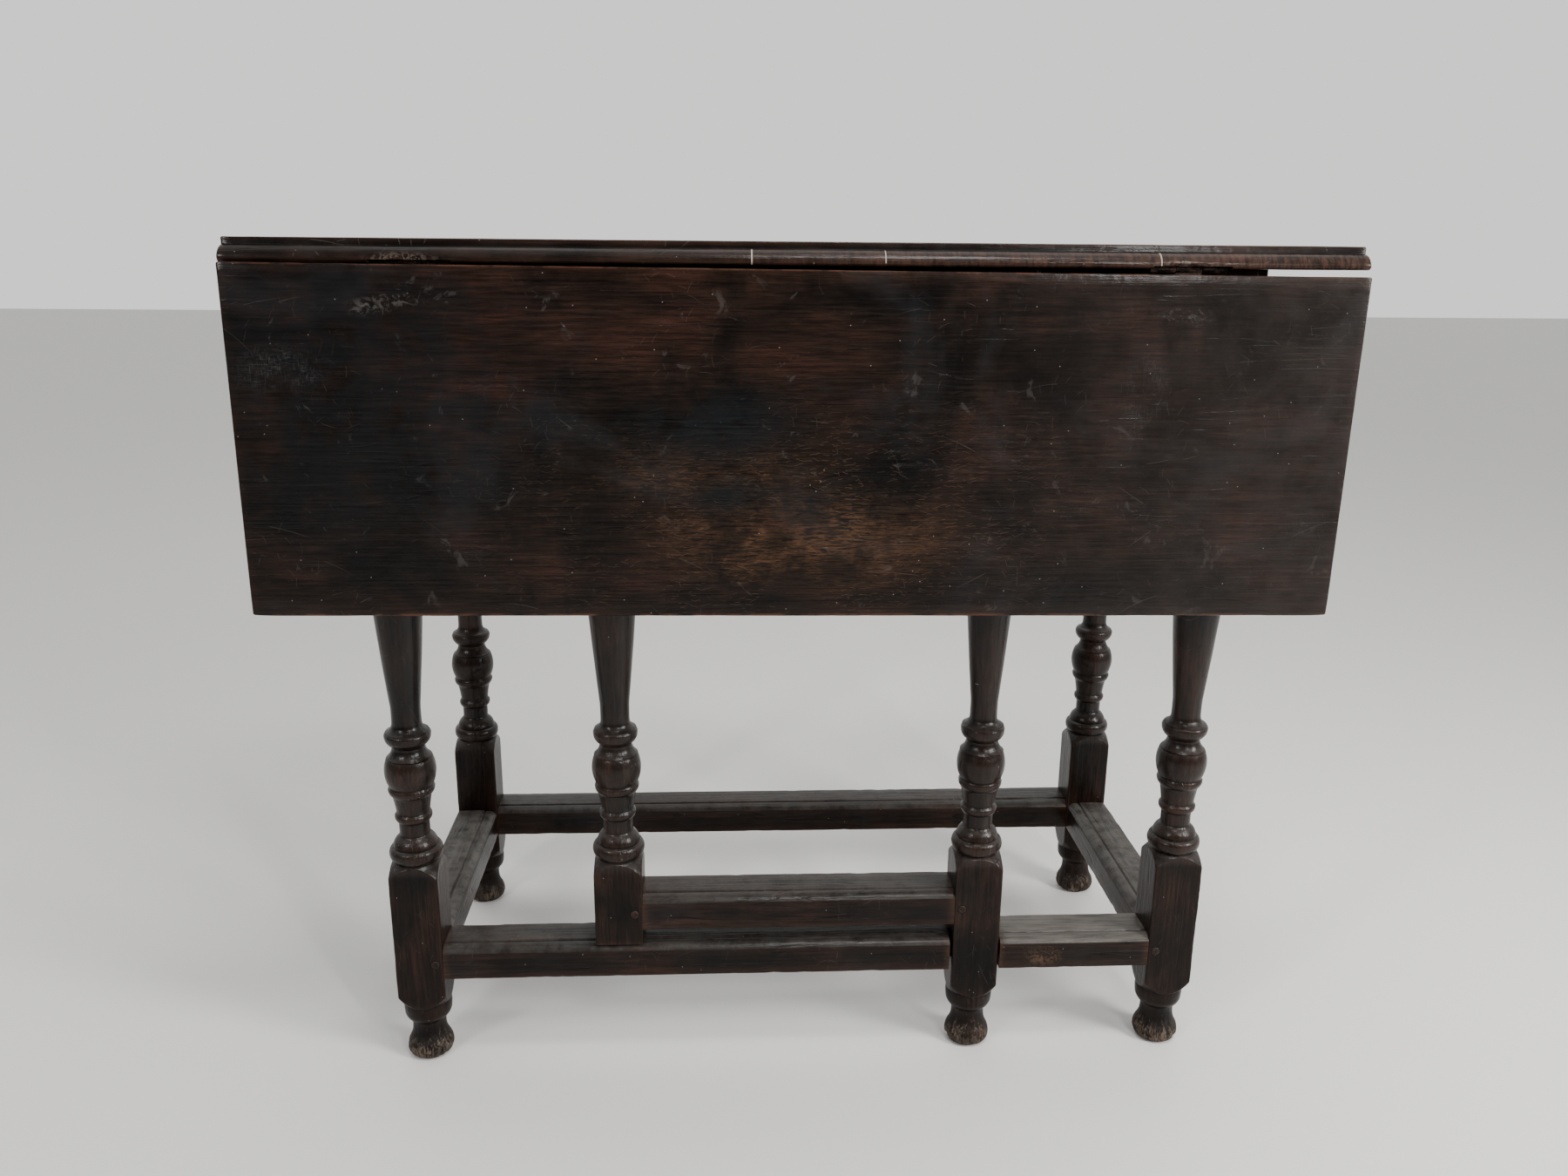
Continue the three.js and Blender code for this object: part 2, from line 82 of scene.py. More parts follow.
# the leaf hangs lower at its right end by its sag
LEAF_LENGTH = 858.0
LEAF_SAG = 4.6
LEAF_LIFT = 0.35
# further than any cut has to reach
FAR = 60


def find_low_pegs():
    """[x, z, radius] of the pegs that show on the front, below the leaf."""
    shown = []
    for node in frame["nodes"]:
        low, high = edges_of(node)
        points_back = high[1] - low[1] > high[0] - low[0]
        if "peg" in node and high[1] < 0 and high[2] < leaf_low[2] and points_back:
            shown.append(((low[0] + high[0]) / 2, (low[2] + high[2]) / 2, (high[0] - low[0]) / 2))
    return shown


LOW_PEGS = find_low_pegs()


# ---- mesh kit --------------------

def rough(x, y, z, scale, seed=0.0):
    """Smooth noise from -1 to 1 at a point. scale is the size of its features."""
    return noise.noise(Vector((x / scale + seed, y / scale - seed * 0.7, z / scale + seed * 1.3)))


def add_object(name, data):
    """Puts a mesh, lamp or camera in the scene."""
    obj = bpy.data.objects.new(name, data)
    bpy.context.scene.collection.objects.link(obj)
    return obj


def mesh_object(name, rows, sharp=35):
    """A closed piece skinned over rows of points."""
    verts, faces = skin(rows)
    mesh = bpy.data.meshes.new(name)
    mesh.from_pydata([(x * MM, y * MM, z * MM) for x, y, z in verts], [], faces)
    mesh.validate()
    smooth(mesh, sharp)
    return add_object(name, mesh)


def smooth(mesh, sharp=35):
    mesh.shade_smooth()
    mesh.set_sharp_from_angle(angle=math.radians(sharp))


def skin(rows):
    """Faces between rows of equally many points, with a fan over the first and the last row."""
    count = len(rows[0])
    verts = [p for row in rows for p in row]
    faces = []
    for r in range(len(rows) - 1):
        for k in range(count):
            a = r * count + k
            b = r * count + (k + 1) % count
            faces.append((a, b, b + count, a + count))
    for row, flip in ((0, True), (len(rows) - 1, False)):
        ring = [row * count + k for k in range(count)]
        middle = len(verts)
        verts.append(tuple(sum(rows[row][k][i] for k in range(count)) / count for i in range(3)))
        for k in range(count):
            a, b = ring[k], ring[(k + 1) % count]
            faces.append((b, a, middle) if flip else (a, b, middle))
    return verts, faces


def cut(obj, cutters, solver="EXACT"):
    """Cuts each cutter from a piece and removes the cutters."""
    for cutter in cutters:
        modifier = obj.modifiers.new("cut", "BOOLEAN")
        modifier.operation = "DIFFERENCE"
        modifier.solver = solver
        modifier.object = cutter
        graph = bpy.context.evaluated_depsgraph_get()
        made = bpy.data.meshes.new_from_object(obj.evaluated_get(graph))
        obj.modifiers.clear()
        old = obj.data
        obj.data = made
        bpy.data.meshes.remove(old)
        bpy.data.objects.remove(cutter)
    smooth(obj.data)
    return obj


def block(name, low, high):
    """A box between two corners, to cut with."""
    bm = bmesh.new()
    bmesh.ops.create_cube(bm, size=1)
    size = [h - l for l, h in zip(low, high)]
    for v in bm.verts:
        v.co = Vector([(low[i] + (v.co[i] + 0.5) * size[i]) * MM for i in range(3)])
    mesh = bpy.data.meshes.new(name)
    bm.to_mesh(mesh)
    bm.free()
    return add_object(name, mesh)


def lathe_rows(outline, centre, axis="z", count=20, wobble=0.0, seed=0.0):
    """Rows of points round an axis. outline is [radius, place along the axis]."""
    rows = []
    for radius, along in outline:
        row = []
        for k in range(count):
            angle = 2 * math.pi * k / count
            c, s = math.cos(angle), math.sin(angle)
            r = radius * (1 + wobble * rough(c * 9, s * 9, along * 0.2, 6, seed))
            u, v = r * c, r * s
            offset = {"z": (u, v, along), "y": (v, along, u), "x": (along, u, v)}[axis]
            row.append(tuple(centre[i] + offset[i] for i in range(3)))
        rows.append(row)
    return rows


def read_values(items, name, width, kind=np.float64):
    """One property of many vertices or edges as an array with a row for each."""
    values = np.empty(len(items) * width, dtype=kind)
    items.foreach_get(name, values)
    return values.reshape(-1, width)


def mark_surface(obj):
    """Writes for its material how worn (convex), how darkened in hollows by grime and painted shade (concave) and
    how dusty (facing up) each point is.
    """
    mesh = obj.data
    count = len(mesh.vertices)
    place = read_values(mesh.vertices, "co", 3)
    normal = read_values(mesh.vertices, "normal", 3)
    a, b = read_values(mesh.edges, "vertices", 2, np.int64).T
    line = place[b] - place[a]
    length = np.maximum(np.linalg.norm(line, axis=1), 1e-9)
    unit = line / length[:, None]
    bend = np.zeros(count)
    degree = np.zeros(count)
    np.add.at(bend, a, np.einsum("ij,ij->i", normal[a], unit))
    np.add.at(bend, b, -np.einsum("ij,ij->i", normal[b], unit))
    np.add.at(degree, a, 1)
    np.add.at(degree, b, 1)
    bend /= np.maximum(degree, 1)
    # twice averaged with its neighbours, the near ones most
    near = 1 / (1 + (length / (1.2 * MM)) ** 2)
    for _ in range(2):
        total = bend.copy()
        weight = np.ones(count)
        np.add.at(total, a, bend[b] * near)
        np.add.at(total, b, bend[a] * near)
        np.add.at(weight, a, near)
        np.add.at(weight, b, near)
        bend = total / weight
    marks = {
        "wear": np.clip(-bend * 5, 0, 1),
        # concave points: grime, and painted shade that darkens the hollows
        "grime_and_shade": np.clip(bend * 6, 0, 1),
        "dust": np.clip((normal[:, 2] - 0.18) * 1.9, 0, 1),
    }
    for name, values in marks.items():
        layer = mesh.attributes.new(name, "FLOAT", "POINT")
        layer.data.foreach_set("value", values.astype(np.float32))


def place_piece(obj, body, slot, material, *nodes):
    """Finishes a piece: its marks, material, the CAD nodes it stands for and its body. slot is not used."""
    mark_surface(obj)
    obj.data.materials.clear()
    obj.data.materials.append(material)
    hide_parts(*nodes)
    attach(obj, body)
    return obj


# ---- materials --------------------

class Shader:
    """A short way to write a node tree: every call adds one node and returns its output."""

    def __init__(self, name):
        self.material = bpy.data.materials.new(name)
        self.material.use_nodes = True
        self.tree = self.material.node_tree
        self.bsdf = self.tree.nodes["Principled BSDF"]

    def node(self, kind, inputs=(), output=0, **settings):
        node = self.tree.nodes.new(kind)
        for key, value in settings.items():
            setattr(node, key, value)
        for key, value in dict(inputs).items():
            self.plug(node.inputs[key], value)
        return node.outputs[output]

    def plug(self, socket, value):
        if isinstance(value, bpy.types.NodeSocket):
            self.tree.links.new(value, socket)
        else:
            socket.default_value = value

    def math(self, operation, a, b=0.0):
        return self.node("ShaderNodeMath", {0: a, 1: b}, operation=operation)

    def plus(self, a, b):
        return self.math("ADD", a, b)

    def minus(self, a, b):
        return self.math("SUBTRACT", a, b)

    def times(self, *values):
        total = values[0]
        for value in values[1:]:
            total = self.math("MULTIPLY", total, value)
        return total

    def highest(self, *values):
        top = values[0]
        for value in values[1:]:
            top = self.math("MAXIMUM", top, value)
        return top

    def vector(self, operation, a, b):
        return self.node("ShaderNodeVectorMath", {0: a, 1: b}, operation=operation)

    def join(self, x, y, z=0.0):
        return self.node("ShaderNodeCombineXYZ", {0: x, 1: y, 2: z})

    def split(self, vector):
        node = self.tree.nodes.new("ShaderNodeSeparateXYZ")
        self.plug(node.inputs[0], vector)
        return list(node.outputs)

    def band(self, value, low, high, to_low=0.0, to_high=1.0):
        """Maps low..high smoothly to to_low..to_high."""
        return self.node(
            "ShaderNodeMapRange",
            {"Value": value, "From Min": low, "From Max": high, "To Min": to_low, "To Max": to_high},
            interpolation_type="SMOOTHSTEP",
        )

    def noise(self, vector, scale, detail=3.0, roughness=0.55, distortion=0.0):
        inputs = {"Vector": vector, "Scale": scale, "Detail": detail, "Roughness": roughness}
        inputs["Distortion"] = distortion
        return self.node("ShaderNodeTexNoise", inputs)

    def mix(self, factor, a, b, blend="MIX"):
        node = self.tree.nodes.new("ShaderNodeMix")
        node.data_type = "RGBA"
        node.blend_type = blend
        self.plug(node.inputs[0], factor)
        self.plug(node.inputs[6], a)
        self.plug(node.inputs[7], b)
        return node.outputs[2]

    def mark(self, name):
        return self.node("ShaderNodeAttribute", output=2, attribute_name=name)

    def spot(self, place, centre, radius, edge=0.4):
        """1 inside an ellipsoid, falling to 0 just outside it."""
        offset = self.vector("SUBTRACT", place, tuple(c * MM for c in centre))
        offset = self.vector("DIVIDE", offset, tuple(r * MM for r in radius))
        size = self.node("ShaderNodeVectorMath", {0: offset}, 1, operation="LENGTH")
        return self.band(size, 1 - edge, 1 + edge, 1.0, 0.0)


def rgb(r, g, b):
    return (r, g, b, 1.0)


def along_grain(s, place, axis):
    """The place as [along the grain, across it], flat on any face of a straight piece."""
    x, y, z = s.split(place)
    along, other = {"x": (x, (y, z)), "y": (y, (x, z)), "z": (z, (x, y))}[axis]
    return s.join(along, s.plus(*other))


def stretched(s, place, axis, along, across):
    """Scales a place so that noise runs out along one axis, as grain does."""
    scale = [across, across, across]
    scale["xyz".index(axis)] = along
    return s.vector("MULTIPLY", place, tuple(scale))


def scratches(s, flat, cell, length, width, chance, lean):
    """A short bent scratch in some cells of a random pattern, and a speck in a few of them."""
    cells = s.vector("DIVIDE", flat, (cell * MM, cell * MM, 1.0))
    node = s.tree.nodes.new("ShaderNodeTexVoronoi")
    node.voronoi_dimensions = "2D"
    s.plug(node.inputs["Vector"], cells)
    node.inputs["Scale"].default_value = 1.0
    random_turn, random_length, random_pick = s.split(node.outputs["Color"])
    offset = s.vector("SUBTRACT", cells, node.outputs["Position"])
    turn = s.times(s.minus(random_turn, 0.5), lean)
    turned = s.node("ShaderNodeVectorRotate", {"Vector": offset, "Angle": turn}, rotation_type="Z_AXIS")
    along, across, _ = s.split(turned)
    bow = s.times(along, along, s.minus(random_length, 0.5), 0.5)
    across = s.math("ABSOLUTE", s.plus(across, bow))
    near = s.band(across, 0.4 * width / cell, width / cell, 1.0, 0.0)
    reach = s.times(s.plus(random_length, 0.25), length / cell * 0.5)
    inside = s.band(s.minus(s.math("ABSOLUTE", along), reach), -0.1, 0.0, 1.0, 0.0)
    picked = s.math("LESS_THAN", random_pick, chance)
    speck = s.band(node.outputs["Distance"], 0.25 / cell, 0.55 / cell, 1.0, 0.0)
    speck = s.times(speck, s.math("GREATER_THAN", random_pick, 0.972))
    return s.times(near, inside, picked), speck


BLACK_OAK = rgb(0.0021, 0.0015, 0.0013)
DARK_OAK = rgb(0.0085, 0.0045, 0.0030)
RED_OAK = rgb(0.0170, 0.0060, 0.0040)
WORN_OAK = rgb(0.070, 0.031, 0.018)
SCRATCHED = rgb(0.140, 0.112, 0.094)
DUST = rgb(0.095, 0.090, 0.082)
NEAR_BLACK = rgb(0.0018, 0.0016, 0.0015)


def oak(name, axis, red=0.5, dust=0.5, scuffs=0.5, worn=0.6, film=0.3, lean=4.0, coarse=1.0,
        polished=None, extra=None):
    """Old waxed oak, near black, with the grain along one axis.

    Numbers say how strongly each thing shows. lean turns scratches off the grain, coarse opens the cracks,
    polished is a stretch of height with more wax, and extra adds a piece's own marks.
    """
    s = Shader(name)
    place = s.node("ShaderNodeTexCoord", output=3)
    random = s.node("ShaderNodeObjectInfo", output=5)
    shift = s.times(random, 7.3)
    moved = s.vector("ADD", place, s.join(shift, shift, shift))
    flat = along_grain(s, moved, axis)

    clouds = s.noise(moved, 9.0, 5.0, 0.62, 0.5)
    grain = s.noise(stretched(s, moved, axis, 22.0, 420.0), 1.0, 6.0, 0.74, 0.2)
    pores = s.noise(stretched(s, moved, axis, 55.0, 1700.0), 1.0, 1.0, 0.5)
    streaks = s.noise(stretched(s, moved, axis, 7.0, 30.0), 1.0, 3.0, 0.6, 0.6)

    colour = s.mix(s.band(clouds, 0.36, 0.60), BLACK_OAK, DARK_OAK)
    reddened = s.times(s.band(clouds, 0.48, 0.70), s.band(streaks, 0.38, 0.62), red)
    colour = s.mix(reddened, colour, RED_OAK)
    shade = s.times(s.band(grain, 0.30, 0.72, 0.38, 2.0), s.band(streaks, 0.3, 0.7, 0.65, 1.4))
    grey = s.node("ShaderNodeCombineColor", {0: shade, 1: shade, 2: shade})
    colour = s.mix(1.0, colour, grey, "MULTIPLY")
    open_pore = s.band(pores, 0.63, 0.70)
    colour = s.mix(s.times(open_pore, 0.8), colour, NEAR_BLACK)
    flecked = s.times(s.band(grain, 0.66, 0.80), s.band(clouds, 0.50, 0.64), 0.35)
    colour = s.mix(flecked, colour, SCRATCHED)

    weathered = s.noise(stretched(s, moved, axis, 8.0, 170.0), 1.0, 4.0, 0.62, 0.3)
    waves = s.noise(stretched(s, moved, axis, 5.0, 60.0), 1.0, 2.0, 0.5, 0.4)
    seam = s.math("ABSOLUTE", s.minus(waves, 0.5))
    opened = s.band(s.noise(moved, 21.0, 2.0), 0.50, 0.58)
    crack = s.times(s.band(seam, 0.0, 0.016, 1.0, 0.0), opened, coarse)
    colour = s.mix(crack, colour, NEAR_BLACK)
    ridge = s.times(s.band(weathered, 0.52, 0.72), s.band(clouds, 0.40, 0.60), 0.30 * coarse)
    colour = s.mix(ridge, colour, WORN_OAK)

    hazed = s.times(s.band(s.noise(moved, 6.0, 4.0, 0.7, 0.9), 0.50, 0.66), film)
    colour = s.mix(hazed, colour, rgb(0.0125, 0.0135, 0.0150))

    short, speck = scratches(s, flat, 9.0, 9.0, 0.30, 0.5, lean)
    long, dot = scratches(s, flat, 34.0, 40.0, 0.36, 0.35, 1.6)
    where = s.band(s.noise(moved, 16.0, 2.0), 0.47, 0.62, 0.04, 1.0)
    scratch = s.times(s.highest(s.times(short, 0.75), long), where, scuffs)
    colour = s.mix(scratch, colour, SCRATCHED)
    colour = s.mix(s.times(s.highest(speck, dot), 0.5), colour, rgb(0.33, 0.31, 0.29))

    wear = s.times(s.mark("wear"), s.band(grain, 0.25, 0.65, 0.25, 1.0), worn)
    colour = s.mix(wear, colour, WORN_OAK)
    # hollows darkened towards near black: grime and painted shade
    colour = s.mix(s.times(s.mark("grime_and_shade"), 0.8), colour, NEAR_BLACK)
    patchy = s.band(s.noise(moved, 60.0, 6.0, 0.75), 0.34, 0.60, 0.35, 1.0)
    patchy = s.times(patchy, s.band(weathered, 0.30, 0.62, 0.6, 1.0))
    settled = s.times(s.mark("dust"), patchy, dust)
    colour = s.mix(settled, colour, DUST)

    gloss = s.band(clouds, 0.35, 0.65, 0.23, 0.33)
    gloss = s.plus(gloss, s.times(grain, 0.10))
    gloss = s.plus(gloss, s.times(settled, 0.35))
    gloss = s.plus(gloss, s.times(hazed, 0.20))
    if extra:
        colour, gloss = extra(s, place, colour, gloss, grain)
    s.plug(s.bsdf.inputs["Base Color"], colour)
    s.plug(s.bsdf.inputs["Roughness"], gloss)

    height = s.plus(s.times(s.noise(stretched(s, moved, axis, 12.0, 420.0), 1.0, 3.0, 0.6), 0.35),
                    s.times(s.noise(moved, 110.0, 3.0, 0.5), 0.45))
    height = s.plus(height, s.times(weathered, 0.25 + 0.75 * coarse))
    height = s.minus(height, s.times(crack, 0.6))
    height = s.minus(height, s.times(scratch, 0.25))
    bump = s.node("ShaderNodeBump", {"Strength": 0.6, "Distance": 0.0010, "Height": height})
    s.plug(s.bsdf.inputs["Normal"], bump)
    s.plug(s.bsdf.inputs["Coat Normal"], bump)
    s.bsdf.inputs["Specular IOR Level"].default_value = 0.08
    coat = 0.14
    if polished:
        z = s.split(place)[2]
        start, end = polished
        waxed = s.times(s.band(z, start * MM, (start + 6) * MM),
                        s.band(z, (end - 6) * MM, end * MM, 1.0, 0.0))
        coat = s.plus(s.times(waxed, 0.17), 0.10)
    s.plug(s.bsdf.inputs["Coat Weight"], coat)
    s.bsdf.inputs["Coat Roughness"].default_value = 0.19 if polished else 0.14
    return s.material


def leg_marks(s, place, colour, gloss, grain):
    """Bare, splintered wood round the bottom of each foot, and a painted shadow in the gap round each low peg."""
    x, _, z = s.split(place)
    splinters = s.noise(s.vector("MULTIPLY", place, (420.0, 420.0, 95.0)), 1.0, 5.0, 0.68, 1.0)
    needed = s.band(z, 2 * MM, 36 * MM, 0.44, 0.66)
    bare = s.band(s.minus(splinters, needed), -0.05, 0.12)
    bare = s.times(bare, s.band(z, 34 * MM, 42 * MM, 1.0, 0.0))
    patches = s.band(s.noise(place, 60.0, 3.0), 0.4, 0.6)
    tone = s.mix(patches, rgb(0.130, 0.098, 0.074), rgb(0.052, 0.042, 0.035))
    colour = s.mix(s.times(bare, 0.85), colour, tone)
    dull = s.times(s.band(z, 10 * MM, 50 * MM, 1.0, 0.0), 0.3)
    # painted shadow: a near-black ring round each low peg stands for the shaded gap between peg and hole
    for peg_x, peg_z, radius in LOW_PEGS:
        off = s.vector("SUBTRACT", s.join(x, 0.0, z), (peg_x * MM, 0.0, peg_z * MM))
        away = s.node("ShaderNodeVectorMath", {0: off}, 1, operation="LENGTH")
        ring = s.band(away, (radius + 0.3) * MM, (radius + 1.0) * MM, 1.0, 0.0)
        colour = s.mix(ring, colour, NEAR_BLACK)
    return colour, s.plus(s.plus(gloss, s.times(bare, 0.4)), dull)


def rail_marks(s, place, colour, gloss, grain):
    """Right of the gate leg the front stretcher's top is painted paler, a painted light as from the window lamp,
    and its face is rubbed.
    """
    x, y, _ = s.split(place)
    gate_side = gate_high[0] * MM
    right = s.band(x, gate_side, gate_side + 0.01)
    # painted light: upward faces right of the gate are painted pale grey, as if lit more by the window, less so in
    # hollows
    pale = s.times(s.mark("dust"), right, s.band(grain, 0.3, 0.6, 0.3, 1.0))
    pale = s.times(pale, s.math("LESS_THAN", y, 0.0))
    pale = s.times(pale, s.band(s.mark("grime_and_shade"), 0.0, 0.25, 1.0, 0.0), 0.55)
    colour = s.mix(pale, colour, rgb(0.155, 0.142, 0.126))
    flaky = s.noise(place, 230.0, 5.0, 0.75, 1.2)
    rub = s.times(s.spot(place, (225, -154, 97), (13, 30, 8), 0.7), s.band(flaky, 0.46, 0.56))
    colour = s.mix(s.times(rub, 0.7), colour, rgb(0.090, 0.052, 0.030))
    return colour, gloss


def leaf_spot(s, place, x, z, width, height, edge):
    """A soft oval on the leaf's face. width and height are from its middle."""
    depth = 99
    return s.spot(place, (x, leaf_low[1], z), (width, depth, height), edge)


def leaf_marks(s, place, colour, gloss, grain):
    """The rubbed patch low in the middle, dark stains, scuffs below the hinges, worn edges and a painted sheen
    towards the right end.
    """
    ragged = s.noise(stretched(s, place, "x", 90.0, 850.0), 1.0, 5.0, 0.72, 0.6)
    uneven = s.noise(place, 28.0, 4.0, 0.65, 0.4)
    rubbed = s.highest(leaf_spot(s, place, 0, 495, 88, 30, 0.9),
                       s.times(leaf_spot(s, place, -75, 545, 80, 26, 0.9), 0.45))
    rubbed = s.times(rubbed, s.band(uneven, 0.36, 0.58, 0.25, 1.0), s.band(ragged, 0.38, 0.68))
    colour = s.mix(s.times(rubbed, 0.8), colour, rgb(0.098, 0.047, 0.022))
    hatch, _ = scratches(s, along_grain(s, place, "x"), 4.5, 9.0, 0.28, 0.6, 0.9)
    hatched = s.times(hatch, leaf_spot(s, place, -20, 510, 210, 80, 0.8))
    hatched = s.times(hatched, s.band(uneven, 0.42, 0.58), 0.42)
    colour = s.mix(hatched, colour, rgb(0.120, 0.068, 0.042))

    stained = s.highest(leaf_spot(s, place, -67, 583, 55, 26, 0.7),
                        leaf_spot(s, place, -60, 530, 28, 12, 0.8),
                        s.times(leaf_spot(s, place, -330, 600, 120, 110, 0.6), 0.7))
    stained = s.times(stained, s.band(uneven, 0.36, 0.56), 0.8)
    colour = s.mix(stained, colour, rgb(0.0045, 0.0058, 0.0068))

    flaky = s.noise(place, 150.0, 6.0, 0.75, 1.6)
    scuffed = s.highest(leaf_spot(s, place, -322, 671, 13, 5, 0.8),
                        leaf_spot(s, place, -304, 676, 17, 3.5, 0.8),
                        leaf_spot(s, place, 288, 668, 15, 5, 0.8))
    scuffed = s.times(scuffed, s.band(flaky, 0.50, 0.60), 0.38)
    rubs = s.highest(leaf_spot(s, place, -390, 624, 30, 17, 0.5),
                     leaf_spot(s, place, 262, 606, 16, 30, 0.5))
    dashes = s.highest(s.noise(stretched(s, place, "z", 170.0, 1300.0), 1.0, 3.0, 0.7),
                       s.noise(stretched(s, place, "x", 170.0, 1300.0), 1.0, 3.0, 0.7))
    rubs = s.times(rubs, s.band(dashes, 0.48, 0.74), s.band(uneven, 0.35, 0.6), 0.26)
    flakes = s.band(s.noise(place, 42.0, 5.0, 0.7, 1.2), 0.60, 0.66)
    flakes = s.times(flakes, s.band(uneven, 0.46, 0.58), 0.14)
    colour = s.mix(s.highest(scuffed, rubs, flakes), colour, rgb(0.130, 0.124, 0.118))

    x, y, z = s.split(place)
    from_lip = s.plus(z, s.times(x, LEAF_SAG / LEAF_LENGTH))
    from_lip = s.minus((HINGE_Z + LEAF_LIFT - LEAF_SAG / 2) * MM, from_lip)
    drop = HINGE_Z - leaf_low[2] - LEAF_SAG
    end = LEAF_LENGTH / 2
    arris = s.highest(s.band(from_lip, 1.1 * MM, 2.2 * MM, 0.7, 0.0),
                      s.band(from_lip, (drop - 3.0) * MM, (drop - 1.2) * MM, 0.0, 1.0),
                      s.band(x, (end - 1.6) * MM, (end - 0.6) * MM))
    arris = s.times(arris, s.band(s.noise(place, 33.0, 4.0, 0.7), 0.38, 0.58),
                    s.band(y, (leaf_low[1] + 1.5) * MM, (leaf_low[1] + 3) * MM, 1.0, 0.1))
    colour = s.mix(arris, colour, rgb(0.075, 0.030, 0.017))

    # painted sheen: the right part of the leaf is painted a paler grey-brown and made rougher, standing in for the
    # window's hazy reflection
    pale = s.times(s.band(x, 0.05, 0.40), s.band(uneven, 0.3, 0.7, 0.5, 1.0), 0.48)
    colour = s.mix(pale, colour, rgb(0.029, 0.0235, 0.0215))
    gloss = s.plus(gloss, s.times(pale, 0.12))
    return colour, gloss


# fillings let into the quarter round: [x, lowest z, half width]
FILLINGS = [(-41, 703, 0.7), (59, 705, 0.5), (268, 702, 0.6)]
ROUND_TOP = 714


def top_marks(s, place, colour, gloss, grain):
    """The rubbed right half of the quarter round and the fillings let into it."""
    x, y, z = s.split(place)
    front = s.times(s.band(y, (HINGE_Y - 1) * MM, HINGE_Y * MM, 1.0, 0.0),
                    s.band(z, (ROUND_TOP - 0.5) * MM, (ROUND_TOP + 0.5) * MM, 1.0, 0.0))
    ribs = s.noise(stretched(s, place, "x", 420.0, 90.0), 1.0, 5.0, 0.7)
    rubbed = s.times(front, s.band(x, -0.15, 0.12), s.band(ribs, 0.34, 0.72), 0.42)
    colour = s.mix(rubbed, colour, rgb(0.105, 0.050, 0.033))
    flaky = s.noise(place, 190.0, 6.0, 0.75, 1.4)
    for spot in HINGE_SPOTS:
        chipped = s.spot(place, (spot - 6, HINGE_Y - 8, HINGE_Z + 2), (24, 9, 4.5), 0.6)
        chipped = s.times(chipped, s.band(flaky, 0.47, 0.56), 0.75)
        colour = s.mix(chipped, colour, rgb(0.110, 0.082, 0.066))
    for place_x, low_z, half_width in FILLINGS:
        off = s.math("ABSOLUTE", s.minus(x, place_x * MM))
        line = s.times(front, s.band(off, 0.6 * half_width * MM, half_width * MM, 1.0, 0.0))
        line = s.times(line, s.math("GREATER_THAN", z, low_z * MM))
        colour = s.mix(s.times(line, 0.9), colour, rgb(0.36, 0.30, 0.24))
    return colour, gloss


def iron(name):
    """Old blacksmith's iron, brown-black with a little rust."""
    s = Shader(name)
    place = s.node("ShaderNodeTexCoord", output=3)
    rust = s.band(s.noise(place, 240.0, 6.0, 0.7), 0.46, 0.66)
    colour = s.mix(rust, rgb(0.022, 0.020, 0.019), rgb(0.075, 0.030, 0.014))
    s.plug(s.bsdf.inputs["Base Color"], colour)
    s.plug(s.bsdf.inputs["Roughness"], s.band(rust, 0.0, 1.0, 0.42, 0.85))
    s.plug(s.bsdf.inputs["Metallic"], s.band(rust, 0.0, 1.0, 0.85, 0.1))
    height = s.noise(place, 420.0, 4.0, 0.6)
    bump = s.node("ShaderNodeBump", {"Strength": 0.4, "Distance": 0.0004, "Height": height})
    s.plug(s.bsdf.inputs["Normal"], bump)
    return s.material


LEG_OAK = oak("leg_oak", "z", red=0.45, dust=0.22, scuffs=0.18, worn=0.30, film=0.05, lean=1.6,
              coarse=0.6, polished=(184, 524), extra=leg_marks)
RAIL_OAK = oak("rail_oak", "x", red=0.5, dust=0.37, scuffs=0.25, worn=0.5, extra=rail_marks)
SIDE_OAK = oak("side_rail_oak", "y", red=0.5, dust=0.9, scuffs=0.25, worn=0.5)
TOP_OAK = oak("top_oak", "x", red=0.8, dust=0.07, scuffs=0.35, worn=0.5, coarse=0.3, extra=top_marks)
LEAF_OAK = oak("leaf_oak", "x", red=0.7, dust=0.0, scuffs=0.19, worn=0.22, film=0.4, coarse=0.3,
               extra=leaf_marks)
PEG_OAK = oak("peg_oak", "y", red=0.3, dust=0.3, scuffs=0.3, worn=0.35)
IRON = iron("old_iron")


# ---- turned legs --------------------

def bow(points, radius, height, out=0.0, steps=6, round_ends=False):
    """Carries an outline on to a point. out bows the stretch, and round_ends makes it a bead."""
    r0, z0 = points[-1]
    length = math.hypot(radius - r0, height - z0)
    nr, nz = (height - z0) / length, -(radius - r0) / length
    for i in range(1, steps + 1):
        t = i / steps
        if round_ends:
            t, lift = (1 - math.cos(math.pi * t)) / 2, out * math.sin(math.pi * t)
        else:
            lift = 4 * out * t * (1 - t)
        points.append((r0 + (radius - r0) * t + nr * lift, z0 + (height - z0) * t + nz * lift))
    return points


def foot_outline():
    """[radius, height] from the floor to the lower block's shoulder."""
    p = [(0.5, 0.0), (11.0, 0.0)]
    bow(p, 15.6, 0.25, 0.0, 2)
    bow(p, 20.4, 7.0, 1.1, 7)
    bow(p, 18.3, 16.0, 0.7, 6)
    bow(p, 14.9, 28.0, -0.8, 7)
    bow(p, 15.2, 34.0, -0.25, 4)
    bow(p, 16.8, 37.2, -0.4, 4)
    bow(p, 21.0, 46.5, 1.2, 8)
    bow(p, 20.9, 54.2, 0.3, 4)
    return p


